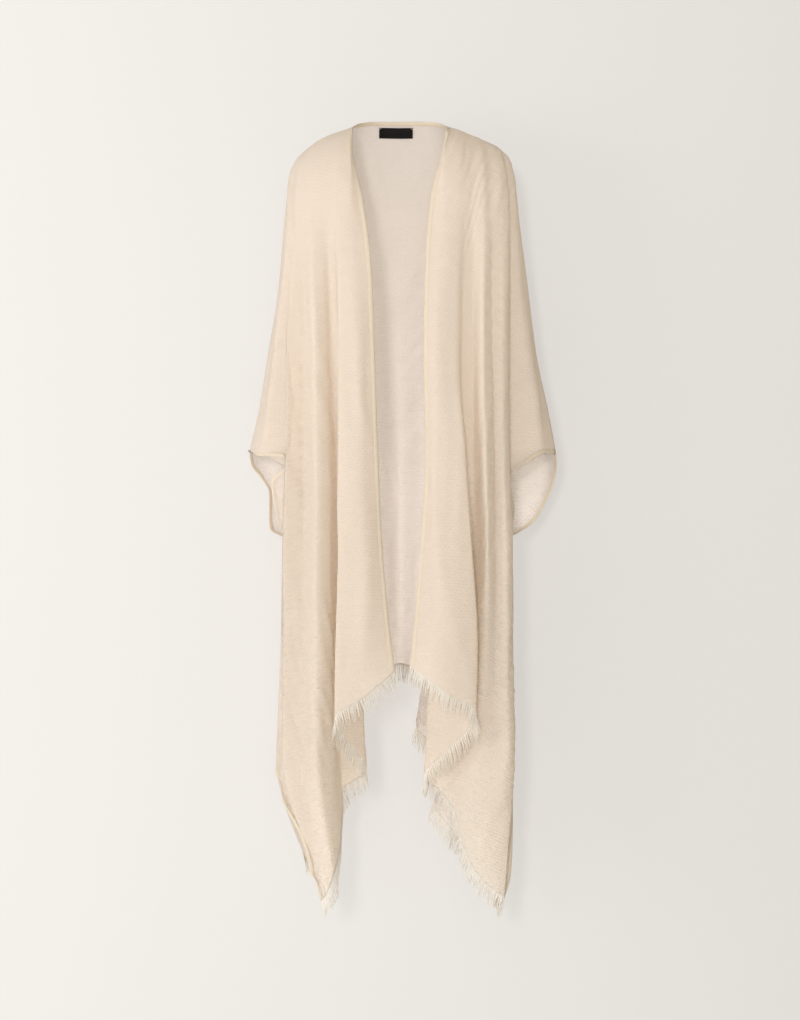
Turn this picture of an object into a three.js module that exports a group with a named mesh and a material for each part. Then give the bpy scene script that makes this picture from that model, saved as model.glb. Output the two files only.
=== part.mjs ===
// Open-front kaftan of cream gauze, standing as it hangs on a wearer's shoulders, with nobody in it.
//
// A maker cuts a back and two fronts, each with its half of the wide sleeve cut in one, joins them along
// the shoulders and down the short side seams, turns narrow hems round the neck, the front edges, the cuffs
// and the side slits, sews a woven label inside the back neck, and frays the bottom edges into a fringe.
//
// Units are millimetres. +Z is up, the front faces -Y, and +X is the wearer's left. The origin is the middle
// of the neck opening at shoulder height, where the wearer's neck and shoulders hold the garment.
//
// Every panel is a surface over two running numbers:
//   fold   which fold line across the panel, 0 at its centre edge to LAST_FOLD at its arm and side edge
//   level  how far down it is, from 0 at the shoulder line to LEVEL.hem at the fringe
// The fold tables give a place for each fold line at each level, and smooth curves join them.

import * as THREE from "three";

// ---------------------------------------------------------------- driving dimensions

const WALL = 1.6; // cloth, with the loft of its crinkle
const SEAM_GAP = 0.4; // between the cut edges that a seam joins
const LIE_GAP = 0.5; // between a panel and what is sewn on it
const HEM_WIDTH = 9;
const HEM_WALL = 1.2;
const FRINGE_LENGTH = 27;
const FRINGE_WALL = 0.9;
const FRINGE_GAP = 1.5; // from the hem to where the threads run free
const STEEPEST_HEM = 0.35; // the least share of a thread's run that counts as leaving the hem
const HEM_SHARE = 0.85; // the most of the first and last spaces between fold lines that a hem takes
const LABEL = { height: 20, wall: 0.8, drop: 11, folds: { right: -0.92, middle: 0.45, left: 0.55 } };

const LEVEL = { shoulder: 0, chest: 1, elbow: 2, cuff: 3, joint: 4, slit: 4.5, skirt: 5, hem: 6 };
const LAST_FOLD = 11;

// Heights of the level rings at the centre of the body and at its side. Below the joint each fold line keeps
// an even share of the way down to its own point of the hem.
const RING_HEIGHT = {
  chest: { centre: -150, side: -185 },
  elbow: { centre: -425, side: -430 },
  cuff: { centre: -605, side: -607 },
  joint: { centre: -763, side: -763 },
};
const SKIRT_SHARE = 0.6;
const NECK_POINT_FOLD = 3; // the back's fold line that starts at the neck point
const FRINGE_FALL = 1.5; // how far the threads turn from the cloth's run to straight down

// ---------------------------------------------------------------- fold tables

// One row for each fold line, counted out from the centre. A place is [x, y] at a ring and [x, y, z] at the
// hem. top is [x] on the shoulder seam, or [x, y, z] on the neck edge. roll is 1, or left out, where the
// cloth turns over the shoulder, and nearer 0 where it falls straight from the neck edge.
const FRONT_RIGHT = [
  { line: "panel middle", top: [-94], chest: [-90, -109], elbow: [-80, -136], cuff: [-77, -138],
    joint: [-72, -140], skirt: [-66, -140], hem: [-62, -136, -1048] },
  { line: "centre fold", top: [-104], chest: [-112, -107], elbow: [-111, -128], cuff: [-111, -130],
    joint: [-111, -132], skirt: [-116, -130], hem: [-118, -122, -1094] },
  { line: "centre tuck", top: [-114], chest: [-124, -104], elbow: [-110, -108], cuff: [-98, -104],
    joint: [-84, -97], skirt: [-68, -84], hem: [-60, -68, -1182] },
  { line: "behind tuck", top: [-125], chest: [-134, -102], elbow: [-122, -99], cuff: [-114, -88],
    joint: [-110, -76], skirt: [-110, -54], hem: [-107, -26, -1233] },
  { line: "turn", top: [-136], chest: [-146, -98], elbow: [-134, -110], cuff: [-130, -110],
    joint: [-127, -108], skirt: [-125, -100], hem: [-110, -84, -1325] },
  { line: "side crest", top: [-147], chest: [-158, -92], elbow: [-152, -117], cuff: [-151, -119],
    joint: [-150, -120], skirt: [-150, -119], hem: [-120, -118, -1374] },
  { line: "side valley", top: [-158], chest: [-170, -84], elbow: [-174, -92], cuff: [-175, -92],
    joint: [-175, -92], skirt: [-174, -98], hem: [-128, -121, -1395] },
  { line: "arm fold", top: [-169], chest: [-190, -66], elbow: [-206, -92], cuff: [-207, -96],
    joint: [-211, -97], skirt: [-212, -92], hem: [-133, -118, -1406] },
  { line: "underarm tuck", top: [-179], chest: [-196, -50], elbow: [-152, -62], cuff: [-124, -60],
    joint: [-126, -58], skirt: [-162, -52], hem: [-137, -112, -1412] },
  { line: "sleeve front", top: [-187], chest: [-205, -31], elbow: [-227, -44], cuff: [-248, -42],
    joint: [-206, -30], skirt: [-226, -38], hem: [-140, -106, -1416] },
];

const FRONT_LEFT = [
  { line: "panel middle", top: [95], chest: [78, -110], elbow: [66, -134], cuff: [68, -137],
    joint: [72, -139], skirt: [78, -142], hem: [78, -138, -1038] },
  { line: "centre fold", top: [106], chest: [104, -108], elbow: [102, -124], cuff: [116, -128],
    joint: [127, -130], skirt: [139, -130], hem: [138, -122, -1084] },
  { line: "centre tuck", top: [117], chest: [118, -105], elbow: [112, -106], cuff: [108, -102],
    joint: [96, -96], skirt: [52, -86], hem: [42, -74, -1196] },
  { line: "behind tuck", top: [128], chest: [132, -101], elbow: [131, -96], cuff: [132, -88],
    joint: [130, -80], skirt: [96, -60], hem: [72, -42, -1225] },
  { line: "side crest", top: [139], chest: [150, -99], elbow: [149, -117], cuff: [153, -117],
    joint: [157, -117], skirt: [148, -104], hem: [102, -66, -1268] },
  { line: "shallow valley", top: [150], chest: [163, -90], elbow: [166, -92], cuff: [170, -94],
    joint: [175, -96], skirt: [172, -100], hem: [115, -86, -1322] },
  { line: "outer crest", top: [161], chest: [186, -80], elbow: [183, -97], cuff: [186, -100],
    joint: [190, -104], skirt: [194, -108], hem: [138, -106, -1368] },
  { line: "arm fold", top: [172], chest: [196, -66], elbow: [198, -74], cuff: [200, -80],
    joint: [203, -86], skirt: [208, -88], hem: [188, -114, -1414] },
  { line: "underarm tuck", top: [182], chest: [193, -52], elbow: [152, -58], cuff: [122, -58],
    joint: [124, -54], skirt: [148, -52], hem: [172, -104, -1398] },
  { line: "sleeve front", top: [191], chest: [211, -29], elbow: [231, -44], cuff: [256, -42],
    joint: [196, -28], skirt: [204, -38], hem: [179, -97, -1408] },
];

const BACK_CENTRE = { line: "centre back", top: [0, 60, 8], roll: 0.3, chest: [0, 92], elbow: [0, 98],
  cuff: [0, 98], joint: [0, 98], skirt: [0, 98], hem: [0, 98, -1003] };

const BACK_RIGHT = [
  { line: "neck middle", top: [-42, 57, 8], roll: 0.35, chest: [-42, 96], elbow: [-42, 114],
    cuff: [-42, 124], joint: [-42, 132], skirt: [-40, 138], hem: [-36, 136, -1024] },
  { line: "centre fold", top: [-72, 36, 2], roll: 0.6, chest: [-78, 98], elbow: [-84, 116], cuff: [-88, 122],
    joint: [-92, 126], skirt: [-100, 126], hem: [-104, 118, -1085] },
  { line: "neck point", top: [-83], chest: [-104, 97], elbow: [-104, 98], cuff: [-98, 94],
    joint: [-90, 92], skirt: [-80, 90], hem: [-68, 86, -1132] },
  { line: "behind tuck", top: [-98], chest: [-122, 93], elbow: [-124, 90], cuff: [-120, 82],
    joint: [-114, 74], skirt: [-102, 66], hem: [-88, 58, -1160] },
  { line: "side crest", top: [-114], chest: [-138, 91], elbow: [-150, 116], cuff: [-150, 124],
    joint: [-150, 130], skirt: [-142, 130], hem: [-118, 114, -1225] },
  { line: "side valley", top: [-130], chest: [-152, 84], elbow: [-168, 86], cuff: [-168, 84],
    joint: [-166, 82], skirt: [-160, 84], hem: [-131, 84, -1270] },
  { line: "outer crest", top: [-145], chest: [-165, 79], elbow: [-187, 104], cuff: [-192, 112],
    joint: [-194, 116], skirt: [-192, 116], hem: [-143, 106, -1305] },
  { line: "arm fold", top: [-159], chest: [-180, 69], elbow: [-208, 82], cuff: [-214, 86],
    joint: [-215, 88], skirt: [-214, 88], hem: [-158, 92, -1330] },
  { line: "underarm tuck", top: [-172], chest: [-186, 54], elbow: [-150, 56], cuff: [-122, 56],
    joint: [-124, 56], skirt: [-166, 58], hem: [-166, 76, -1345] },
  { line: "sleeve back", top: [-184], chest: [-203, 32], elbow: [-228, 44], cuff: [-250, 46],
    joint: [-208, 32], skirt: [-222, 34], hem: [-172, 58, -1355] },
];

const BACK_LEFT = [
  { line: "neck middle", top: [42, 57, 8], roll: 0.35, chest: [42, 96], elbow: [42, 113], cuff: [42, 122],
    joint: [42, 129], skirt: [40, 134], hem: [34, 130, -1018] },
  { line: "centre fold", top: [72, 36, 2], roll: 0.6, chest: [78, 98], elbow: [82, 115], cuff: [86, 121],
    joint: [91, 124], skirt: [98, 124], hem: [96, 120, -1064] },
  { line: "neck point", top: [83], chest: [104, 97], elbow: [104, 97], cuff: [98, 94],
    joint: [86, 93], skirt: [50, 95], hem: [30, 96, -1113] },
  { line: "behind tuck", top: [98], chest: [122, 93], elbow: [125, 90], cuff: [119, 84],
    joint: [108, 80], skirt: [82, 82], hem: [58, 88, -1150] },
  { line: "side crest", top: [114], chest: [138, 91], elbow: [150, 115], cuff: [148, 121],
    joint: [145, 122], skirt: [138, 104], hem: [118, 70, -1200] },
  { line: "side valley", top: [130], chest: [152, 84], elbow: [166, 86], cuff: [160, 84],
    joint: [150, 82], skirt: [110, 68], hem: [62, 40, -1256] },
  { line: "outer crest", top: [145], chest: [166, 79], elbow: [186, 103], cuff: [184, 106],
    joint: [178, 102], skirt: [150, 64], hem: [92, 24, -1300] },
  { line: "arm fold", top: [160], chest: [182, 69], elbow: [206, 82], cuff: [206, 88],
    joint: [202, 92], skirt: [190, 88], hem: [124, 56, -1345] },
  { line: "underarm tuck", top: [174], chest: [190, 54], elbow: [152, 56], cuff: [124, 56],
    joint: [124, 56], skirt: [160, 56], hem: [150, 70, -1380] },
  { line: "sleeve back", top: [186], chest: [208, 32], elbow: [232, 44], cuff: [258, 50],
    joint: [196, 34], skirt: [206, 42], hem: [170, 72, -1408] },
];

// The shoulder seam, from the neck point to the top of the arm: how far out, and how high there.
const SHOULDER_RIGHT = [
  { out: -83, height: -7 },
  { out: -96, height: -13 },
  { out: -145, height: -35 },
  { out: -180, height: -59 },
  { out: -194, height: -77 },
];
const SHOULDER_LEFT = [
  { out: 83, height: -7 },
  { out: 98, height: -13 },
  { out: 155, height: -37 },
  { out: 188, height: -57 },
  { out: 200, height: -73 },
];

// Centre edges of the two fronts, from the neck point down to the fringe.
const CENTRE_EDGE_RIGHT = [
  { level: 0, at: [-83, 0, -7] },
  { level: 0.3, at: [-87, -42, -20] },
  { level: 0.6, at: [-86, -78, -62] },
  { level: 1, at: [-68, -101, -150] },
  { level: 1.5, at: [-52, -118, -280] },
  { level: 2, at: [-46, -124, -425] },
  { level: 3, at: [-40, -124, -605] },
  { level: 4, at: [-33, -122, -763] },
  { level: 5, at: [-21, -123, -908] },
  { level: 6, at: [-10, -122, -1005] },
];
const CENTRE_EDGE_LEFT = [
  { level: 0, at: [83, 0, -7] },
  { level: 0.3, at: [84, -42, -20] },
  { level: 0.6, at: [77, -78, -62] },
  { level: 1, at: [56, -101, -150] },
  { level: 1.5, at: [46, -118, -280] },
  { level: 2, at: [43, -124, -425] },
  { level: 3, at: [46, -124, -605] },
  { level: 4, at: [38, -122, -763] },
  { level: 5, at: [27, -123, -903] },
  { level: 6, at: [19, -122, -993] },
];

// Outer edges: over the arm to the cuff, round the cuff opening to the joint under it, down the side seam
// and the slit to the corner. beside is where the next fold line runs round the opening.
const ARM_RIGHT = [
  { level: 0, at: [-194, 0, -77] },
  { level: 0.4, at: [-203, 0, -105] },
  { level: 1, at: [-213, 0, -188] },
  { level: 1.5, at: [-223, 0, -305] },
  { level: 2, at: [-243, 0, -430] },
  { level: 2.5, at: [-259, 0, -530] },
  { level: 3, at: [-277, 0, -609] },
];
const ARM_LEFT = [
  { level: 0, at: [200, 0, -73] },
  { level: 0.4, at: [210, 0, -105] },
  { level: 1, at: [220, 0, -188] },
  { level: 1.5, at: [235, 0, -305] },
  { level: 2, at: [251, 0, -430] },
  { level: 2.5, at: [272, 0, -530] },
  { level: 3, at: [286, 0, -604] },
];
const SIDE_SEAM_RIGHT = [
  { level: 4, at: [-216, 4, -763] },
  { level: 4.5, at: [-219, 2, -960] },
];
const SIDE_SEAM_LEFT = [
  { level: 4, at: [202, 4, -763] },
  { level: 4.5, at: [206, 2, -960] },
];
const OPENING = {
  frontRight: [
    { level: 3.08, at: [-252, -36, -609], beside: [-228, -50] },
    { level: 3.22, at: [-211, -57, -613], beside: [-202, -62] },
    { level: 3.38, at: [-209, -61, -634], beside: [-200, -66] },
    { level: 3.58, at: [-235, -48, -661], beside: [-214, -60] },
    { level: 3.78, at: [-231, -32, -702], beside: [-213, -47] },
  ],
  frontLeft: [
    { level: 3.08, at: [266, -34, -603], beside: [246, -50] },
    { level: 3.22, at: [228, -53, -622], beside: [210, -60] },
    { level: 3.38, at: [200, -58, -644], beside: [192, -62] },
    { level: 3.62, at: [200, -48, -668], beside: [190, -56] },
    { level: 3.82, at: [209, -32, -716], beside: [195, -44] },
  ],
  backRight: [
    { level: 3.12, at: [-275, 26, -630], beside: [-250, 50] },
    { level: 3.3, at: [-259, 43, -652], beside: [-240, 58] },
    { level: 3.5, at: [-243, 50, -684], beside: [-228, 62] },
    { level: 3.7, at: [-243, 44, -722], beside: [-224, 58] },
    { level: 3.88, at: [-240, 26, -750], beside: [-218, 46] },
  ],
  backLeft: [
    { level: 3.14, at: [290, 24, -632], beside: [266, 52] },
    { level: 3.32, at: [285, 42, -662], beside: [262, 60] },
    { level: 3.52, at: [269, 52, -702], beside: [246, 65] },
    { level: 3.72, at: [248, 50, -736], beside: [226, 62] },
    { level: 3.88, at: [222, 30, -754], beside: [208, 50] },
  ],
};
const SLIT = {
  frontRight: [
    { level: 5, at: [-224, -24, -1150] },
    { level: 5.3, at: [-215, -52, -1228] },
    { level: 5.65, at: [-172, -82, -1312] },
    { level: 6, at: [-143, -100, -1419] },
  ],
  frontLeft: [
    { level: 5, at: [206, -22, -1150] },
    { level: 5.4, at: [205, -54, -1280] },
    { level: 5.75, at: [201, -78, -1368] },
    { level: 6, at: [187, -92, -1421] },
  ],
  backRight: [
    { level: 5, at: [-219, 12, -1122] },
    { level: 5.5, at: [-204, 24, -1250] },
    { level: 6, at: [-177, 40, -1362] },
  ],
  backLeft: [
    { level: 5, at: [205, 14, -1154] },
    { level: 5.5, at: [203, 34, -1300] },
    { level: 6, at: [184, 60, -1427] },
  ],
};

// ---------------------------------------------------------------- smooth curves through table rows

// A curve through (at[i], values[i]) that never swings past them, so that a fold line is a fold's true edge.
function smoothThrough(at, values) {
  const last = at.length - 1;
  const step = at.slice(1).map((x, i) => x - at[i]);
  const slope = step.map((h, i) => (values[i + 1] - values[i]) / h);
  const tangent = values.map((_, i) => {
    if (i === 0) return slope[0];
    if (i === last) return slope[last - 1];
    if (slope[i - 1] * slope[i] <= 0) return 0;
    const before = 2 * step[i] + step[i - 1];
    const after = step[i] + 2 * step[i - 1];
    return (before + after) / (before / slope[i - 1] + after / slope[i]);
  });
  return (x) => {
    let i = 0;
    while (i < last - 1 && x > at[i + 1]) i++;
    const t = Math.min(1, Math.max(0, (x - at[i]) / step[i]));
    const t2 = t * t;
    const t3 = t2 * t;
    return (
      (2 * t3 - 3 * t2 + 1) * values[i] +
      (t3 - 2 * t2 + t) * step[i] * tangent[i] +
      (3 * t2 - 2 * t3) * values[i + 1] +
      (t3 - t2) * step[i] * tangent[i + 1]
    );
  };
}

// The same through points: rows are { level, at: [x, y, z] }.
function pathThrough(rows) {
  const levels = rows.map((row) => row.level);
  const axes = [0, 1, 2].map((k) => smoothThrough(levels, rows.map((row) => row.at[k])));
  return (level) => axes.map((axis) => axis(level));
}

// ---------------------------------------------------------------- fold lines and panels

const mix = (a, b, t) => a + (b - a) * t;

// The height of an inner fold line at a ring, between the ring's centre and side heights.
function ringHeight(ring, share) {
  return mix(RING_HEIGHT[ring].centre, RING_HEIGHT[ring].side, share);
}

// The height of the shoulder seam at a place across it.
function shoulderHeight(x) {
  const rows = x < 0 ? SHOULDER_RIGHT : SHOULDER_LEFT;
  return smoothThrough(rows.map(({ out }) => Math.abs(out)), rows.map(({ height }) => height))(Math.abs(x));
}

// One inner fold line, from its row of a fold table and its number. extra holds added rows round the cuff.
function foldLine(row, number, extra = []) {
  const share = number / LAST_FOLD;
  const ringRow = (ring) => ({ level: LEVEL[ring], at: [...row[ring], ringHeight(ring, share)] });
  const belowJoint = (level, place, part) => ({
    level,
    at: [place[0], place[1], mix(RING_HEIGHT.joint.centre, row.hem[2], part)],
  });
  const [cuff, joint] = [ringHeight("cuff", share), ringHeight("joint", share)];
  const cuffHeight = (level) => mix(cuff, joint, level - LEVEL.cuff);
  const lower = pathThrough([
    ringRow("chest"),
    ringRow("elbow"),
    ringRow("cuff"),
    ...extra.map(({ level, beside }) => ({ level, at: [...beside, cuffHeight(level)] })),
    ringRow("joint"),
    belowJoint(LEVEL.skirt, row.skirt, SKIRT_SHARE),
    belowJoint(LEVEL.hem, row.hem, 1),
  ]);
  const chest = lower(LEVEL.chest);
  const [x, y = 0, z = shoulderHeight(x)] = row.top;
  const { roll = 1 } = row;
  return (level) => {
    if (level >= LEVEL.chest) return lower(level);
    // A quarter ellipse over the shoulder, eased towards a straight fall where roll is small.
    const quarter = (level * Math.PI) / 2;
    const out = mix(level, Math.sin(quarter), roll);
    const down = mix(level, 1 - Math.cos(quarter), roll);
    return [mix(x, chest[0], out), mix(y, chest[1], out), mix(z, chest[2], down)];
  };
}

// The outer edge of a half panel, shifted off the seam plane by half the seam gap towards its own side. Both
// panels of a seam take its run from the same rows.
function outerEdge(arm, opening, seam, slit, towards) {
  const parts = [arm, [arm.at(-1), ...opening, seam[0]], seam, [seam.at(-1), ...slit]];
  const paths = parts.map((rows) => ({ end: rows.at(-1).level, at: pathThrough(rows) }));
  return (level) => {
    const [x, y, z] = paths.find(({ end }) => level <= end).at(level);
    return [x, y + (towards * SEAM_GAP) / 2, z];
  };
}

// All twelve fold lines of a half panel, from the centre edge to the outer edge.
function halfPanel({ centre, folds, arm, opening, seam, slit, towards }) {
  const inner = folds.map((row, i) => {
    const line = foldLine(row, i + 1, i === folds.length - 1 ? opening : []);
    return (level) => {
      const [x, y, z] = line(level);
      const seamShift = Math.abs(y) < SEAM_GAP && level < LEVEL.chest ? (towards * SEAM_GAP) / 2 : 0;
      return [x, y + seamShift, z];
    };
  });
  return [centre, ...inner, outerEdge(arm, opening, seam, slit, towards)];
}

const FRONT = -1;
const BACK = 1;

const halves = {
  frontRight: halfPanel({ centre: pathThrough(CENTRE_EDGE_RIGHT), folds: FRONT_RIGHT, arm: ARM_RIGHT,
    opening: OPENING.frontRight, seam: SIDE_SEAM_RIGHT, slit: SLIT.frontRight, towards: FRONT }),
  frontLeft: halfPanel({ centre: pathThrough(CENTRE_EDGE_LEFT), folds: FRONT_LEFT, arm: ARM_LEFT,
    opening: OPENING.frontLeft, seam: SIDE_SEAM_LEFT, slit: SLIT.frontLeft, towards: FRONT }),
  backRight: halfPanel({ centre: foldLine(BACK_CENTRE, 0), folds: BACK_RIGHT, arm: ARM_RIGHT,
    opening: OPENING.backRight, seam: SIDE_SEAM_RIGHT, slit: SLIT.backRight, towards: BACK }),
  backLeft: halfPanel({ centre: foldLine(BACK_CENTRE, 0), folds: BACK_LEFT, arm: ARM_LEFT,
    opening: OPENING.backLeft, seam: SIDE_SEAM_LEFT, slit: SLIT.backLeft, towards: BACK }),
};

// A panel's surface: lines are its fold lines in order, and first is the number of the first one.
function panelSurface(lines, first) {
  const numbers = lines.map((_, i) => first + i);
  return {
    first,
    last: first + lines.length - 1,
    row(level) {
      const points = lines.map((line) => line(level));
      const axes = [0, 1, 2].map((k) => smoothThrough(numbers, points.map((p) => p[k])));
      return (fold) => new THREE.Vector3(...axes.map((axis) => axis(fold)));
    },
  };
}

const surfaces = {
  frontRight: panelSurface(halves.frontRight, 0),
  frontLeft: panelSurface(halves.frontLeft, 0),
  back: panelSurface([...halves.backRight.slice(1).reverse(), ...halves.backLeft], -LAST_FOLD),
};

// ---------------------------------------------------------------- grids of points

const FRONT_LEVELS = [0, 0.3, 0.6, 1, 1.5, 2, 2.5, 3, 3.08, 3.22, 3.38, 3.58, 3.78, 4, 4.5, 5, 5.3, 5.65, 6];
const SEARCH_STEPS = 24;

// Halves the span from near to far until it holds the last place where still(place) is true.
function lastWhere(near, far, still) {
  for (let i = 0; i < SEARCH_STEPS; i++) {
    const middle = (near + far) / 2;
    if (still(middle)) near = middle;
    else far = middle;
  }
  return near;
}

// The level a distance down the centre back from the neck edge.
function backLevelAt(distance) {
  const centre = (level) => surfaces.back.row(level)(0);
  const start = centre(LEVEL.shoulder);
  return lastWhere(LEVEL.shoulder, LEVEL.chest, (level) => centre(level).distanceTo(start) < distance);
}

const NECK_LEVELS = [HEM_WIDTH, LABEL.drop, LABEL.drop + LABEL.height].map(backLevelAt);
const BACK_LEVELS = [FRONT_LEVELS[0], ...NECK_LEVELS, ...FRONT_LEVELS.slice(1)];

// Columns of a grid: two facets between fold lines, and a hem's width at its outer and centre edges.
function columnsOf(surface, at, hasCentreEdge) {
  const hemFrom = (edge, inward) => {
    const start = at(edge);
    return lastWhere(0, HEM_SHARE, (share) => at(edge + inward * share).distanceTo(start) < HEM_WIDTH);
  };
  const half = (sign, inner) => {
    const folds = inner.slice();
    for (let fold = 1; fold < LAST_FOLD; fold++) folds.push(fold, fold + 0.5);
    const hem = LAST_FOLD - hemFrom(sign * LAST_FOLD, -sign);
    folds[folds.length - 1] = (LAST_FOLD - 1 + hem) / 2;
    return [...folds, hem, LAST_FOLD].map((fold) => sign * fold);
  };
  if (!hasCentreEdge) {
    const right = half(-1, [LABEL.folds.middle]).reverse();
    right.splice(right.length - 1, 0, LABEL.folds.right);
    return [...right, 0, ...half(1, [LABEL.folds.left])];
  }
  const hem = hemFrom(0, 1);
  return half(1, [0, hem, (hem + 1) / 2]);
}

// A panel's grid of points, and the outward normal at each.
function gridOf(name) {
  const surface = surfaces[name];
  const isBack = name === "back";
  const levels = isBack ? BACK_LEVELS : FRONT_LEVELS;
  const columns = levels.map((level) => columnsOf(surface, surface.row(level), !isBack));
  const points = levels.map((level, i) => columns[i].map((fold) => surface.row(level)(fold)));
  const seamAt = (i, fold) => {
    const level = levels[i];
    const onArm = level <= LEVEL.cuff;
    const onSide = level >= LEVEL.joint && level <= LEVEL.slit;
    const onShoulder = level === LEVEL.shoulder && Math.abs(fold) >= (isBack ? NECK_POINT_FOLD : 0);
    return Math.abs(fold) === LAST_FOLD ? onArm || onSide : onShoulder;
  };
  const normals = points.map((row, i) =>
    row.map((_, j) => {
      const normal = normalAt(points, i, j, OUTWARD[name]);
      return seamAt(i, columns[i][j]) ? seamNormal(points, i, j, normal) : normal;
    }),
  );
  return { name, levels, columns, points, normals };
}

// Which side of each surface faces out.
const OUTWARD = { frontRight: 1, frontLeft: -1, back: 1 };

const around = (list, i) => [list[Math.max(i - 1, 0)], list[Math.min(i + 1, list.length - 1)]];

function normalAt(points, i, j, outward) {
  const [above, below] = around(points, i).map((row) => row[j]);
  const [before, after] = around(points[i], j);
  const down = below.clone().sub(above);
  return after.clone().sub(before).cross(down).normalize().multiplyScalar(outward);
}

// The normal at a seam that both its panels share, square to the seam and to the Y axis.
function seamNormal(points, i, j, outward) {
  const alongShoulder = i === 0 && j > 0 && j < points[0].length - 1;
  const [from, to] = alongShoulder ? around(points[0], j) : around(points, i).map((row) => row[j]);
  const normal = new THREE.Vector3(to.z - from.z, 0, from.x - to.x).normalize();
  return normal.dot(outward) < 0 ? normal.negate() : normal;
}

// ---------------------------------------------------------------- closed walls

// A closed wall between two grids of points: every facet of outer and inner, joined round the rim.
function wallBetween(outer, inner) {
  const rows = outer.length;
  const columns = outer[0].length;
  const positions = [...outer.flat(), ...inner.flat()].flatMap((p) => [p.x, p.y, p.z]);
  const near = (i, j) => i * columns + j;
  const far = (i, j) => rows * columns + near(i, j);
  const index = [];
  const quad = (a, b, c, d) => index.push(a, b, c, a, c, d);
  for (let i = 0; i < rows - 1; i++)
    for (let j = 0; j < columns - 1; j++) {
      quad(near(i, j), near(i + 1, j), near(i + 1, j + 1), near(i, j + 1));
      quad(far(i + 1, j + 1), far(i + 1, j), far(i, j), far(i, j + 1));
    }
  for (let i = 0; i < rows - 1; i++) {
    quad(near(i, 0), far(i, 0), far(i + 1, 0), near(i + 1, 0));
    quad(near(i, columns - 1), near(i + 1, columns - 1), far(i + 1, columns - 1), far(i, columns - 1));
  }
  for (let j = 0; j < columns - 1; j++) {
    quad(near(0, j), near(0, j + 1), far(0, j + 1), far(0, j));
    quad(near(rows - 1, j), far(rows - 1, j), far(rows - 1, j + 1), near(rows - 1, j + 1));
  }
  const geometry = new THREE.BufferGeometry();
  geometry.setAttribute("position", new THREE.Float32BufferAttribute(positions, 3));
  geometry.setIndex(index);
  if (volumeOf(geometry) < 0) geometry.setIndex(index.slice().reverse());
  geometry.computeVertexNormals();
  return geometry;
}

function volumeOf(geometry) {
  const point = geometry.getAttribute("position");
  const index = geometry.getIndex().array;
  const corner = [0, 1, 2].map(() => new THREE.Vector3());
  let volume = 0;
  for (let i = 0; i < index.length; i += 3) {
    corner.forEach((c, k) => c.fromBufferAttribute(point, index[i + k]));
    volume += corner[0].dot(corner[1].clone().cross(corner[2])) / 6;
  }
  return volume;
}

// The wall of some rows and columns of a grid, between two distances out from it. A distance is a number, or
// a rule that gives one for a level and a column.
function wallOf(grid, from, to, rows, columns) {
  const layer = (distance) =>
    rows.map((i) =>
      columns.map((j) => {
        const out = typeof distance === "number" ? distance : distance(grid.levels[i], j);
        return grid.points[i][j].clone().addScaledVector(grid.normals[i][j], out);
      }),
    );
  return wallBetween(layer(to), layer(from));
}

// ---------------------------------------------------------------- pieces

const grids = { frontRight: gridOf("frontRight"), frontLeft: gridOf("frontLeft"), back: gridOf("back") };

const rowsWhere = (name, isIn) => grids[name].levels.flatMap((level, i) => (isIn(level) ? [i] : []));
const columnsWhere = (name, isIn) => grids[name].columns[0].flatMap((fold, j) => (isIn(fold) ? [j] : []));
const every = () => true;

// A panel, with the narrow hems of its cuff and its side slit turned to the inside of its own wall.
function panelWall(name) {
  const grid = grids[name];
  const last = grid.columns[0].length - 1;
  const isHemmed = (level) => (level > LEVEL.cuff && level < LEVEL.joint) || level > LEVEL.slit;
  const isOuter = (j) => j >= last - 1 || (name === "back" && j <= 1);
  const inside = (level, j) => -WALL / 2 - (isHemmed(level) && isOuter(j) ? HEM_WALL : 0);
  return wallOf(grid, inside, WALL / 2, rowsWhere(name, every), columnsWhere(name, every));
}

// A strip of some rows and columns of a panel, lying on its inside a sewing gap away from its wall.
function stripInside(name, rows, columns, thickness) {
  const near = -(WALL / 2 + LIE_GAP);
  return wallOf(grids[name], near - thickness, near, rows, columns);
}

function frontBand(name) {
  const belowNeckPoint = (level) => level > LEVEL.shoulder;
  return stripInside(name, rowsWhere(name, belowNeckPoint), [0, 1], HEM_WALL);
}

function neckBand() {
  const betweenNeckPoints = (fold) => Math.abs(fold) < NECK_POINT_FOLD;
  return stripInside("back", [0, 1], columnsWhere("back", betweenNeckPoints), HEM_WALL);
}

function label() {
  const { right, left } = LABEL.folds;
  const underLabel = (fold) => fold >= right && fold <= left;
  return stripInside("back", [2, 3], columnsWhere("back", underLabel), LABEL.wall);
}

// The frayed edge below a panel's hem, as the plain solid that its threads fill. Threads follow the cloth's
// run and turn down with their weight. They start a small gap off the hem, measured square to it.
function fringe(name) {
  const { points, normals } = grids[name];
  const hemRow = points.at(-1);
  const runs = hemRow.map((edge, j) => {
    const run = edge.clone().sub(points.at(-2)[j]).normalize();
    run.z -= FRINGE_FALL;
    return run.normalize();
  });
  const starts = hemRow.map((edge, j) => {
    const [before, after] = around(hemRow, j);
    const along = [edge.clone().sub(before), after.clone().sub(edge)].filter((v) => v.length() > 0);
    const square = Math.min(...along.map((v) => v.normalize().cross(runs[j]).length()));
    return FRINGE_GAP / Math.max(square, STEEPEST_HEM);
  });
  const rows = [0, FRINGE_LENGTH / 2, FRINGE_LENGTH].map((reach) =>
    hemRow.map((edge, j) => edge.clone().addScaledVector(runs[j], starts[j] + reach)),
  );
  const layer = (distance) =>
    rows.map((row) => row.map((p, j) => p.clone().addScaledVector(normals.at(-1)[j], distance)));
  return wallBetween(layer(FRINGE_WALL / 2), layer(-FRINGE_WALL / 2));
}

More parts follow.
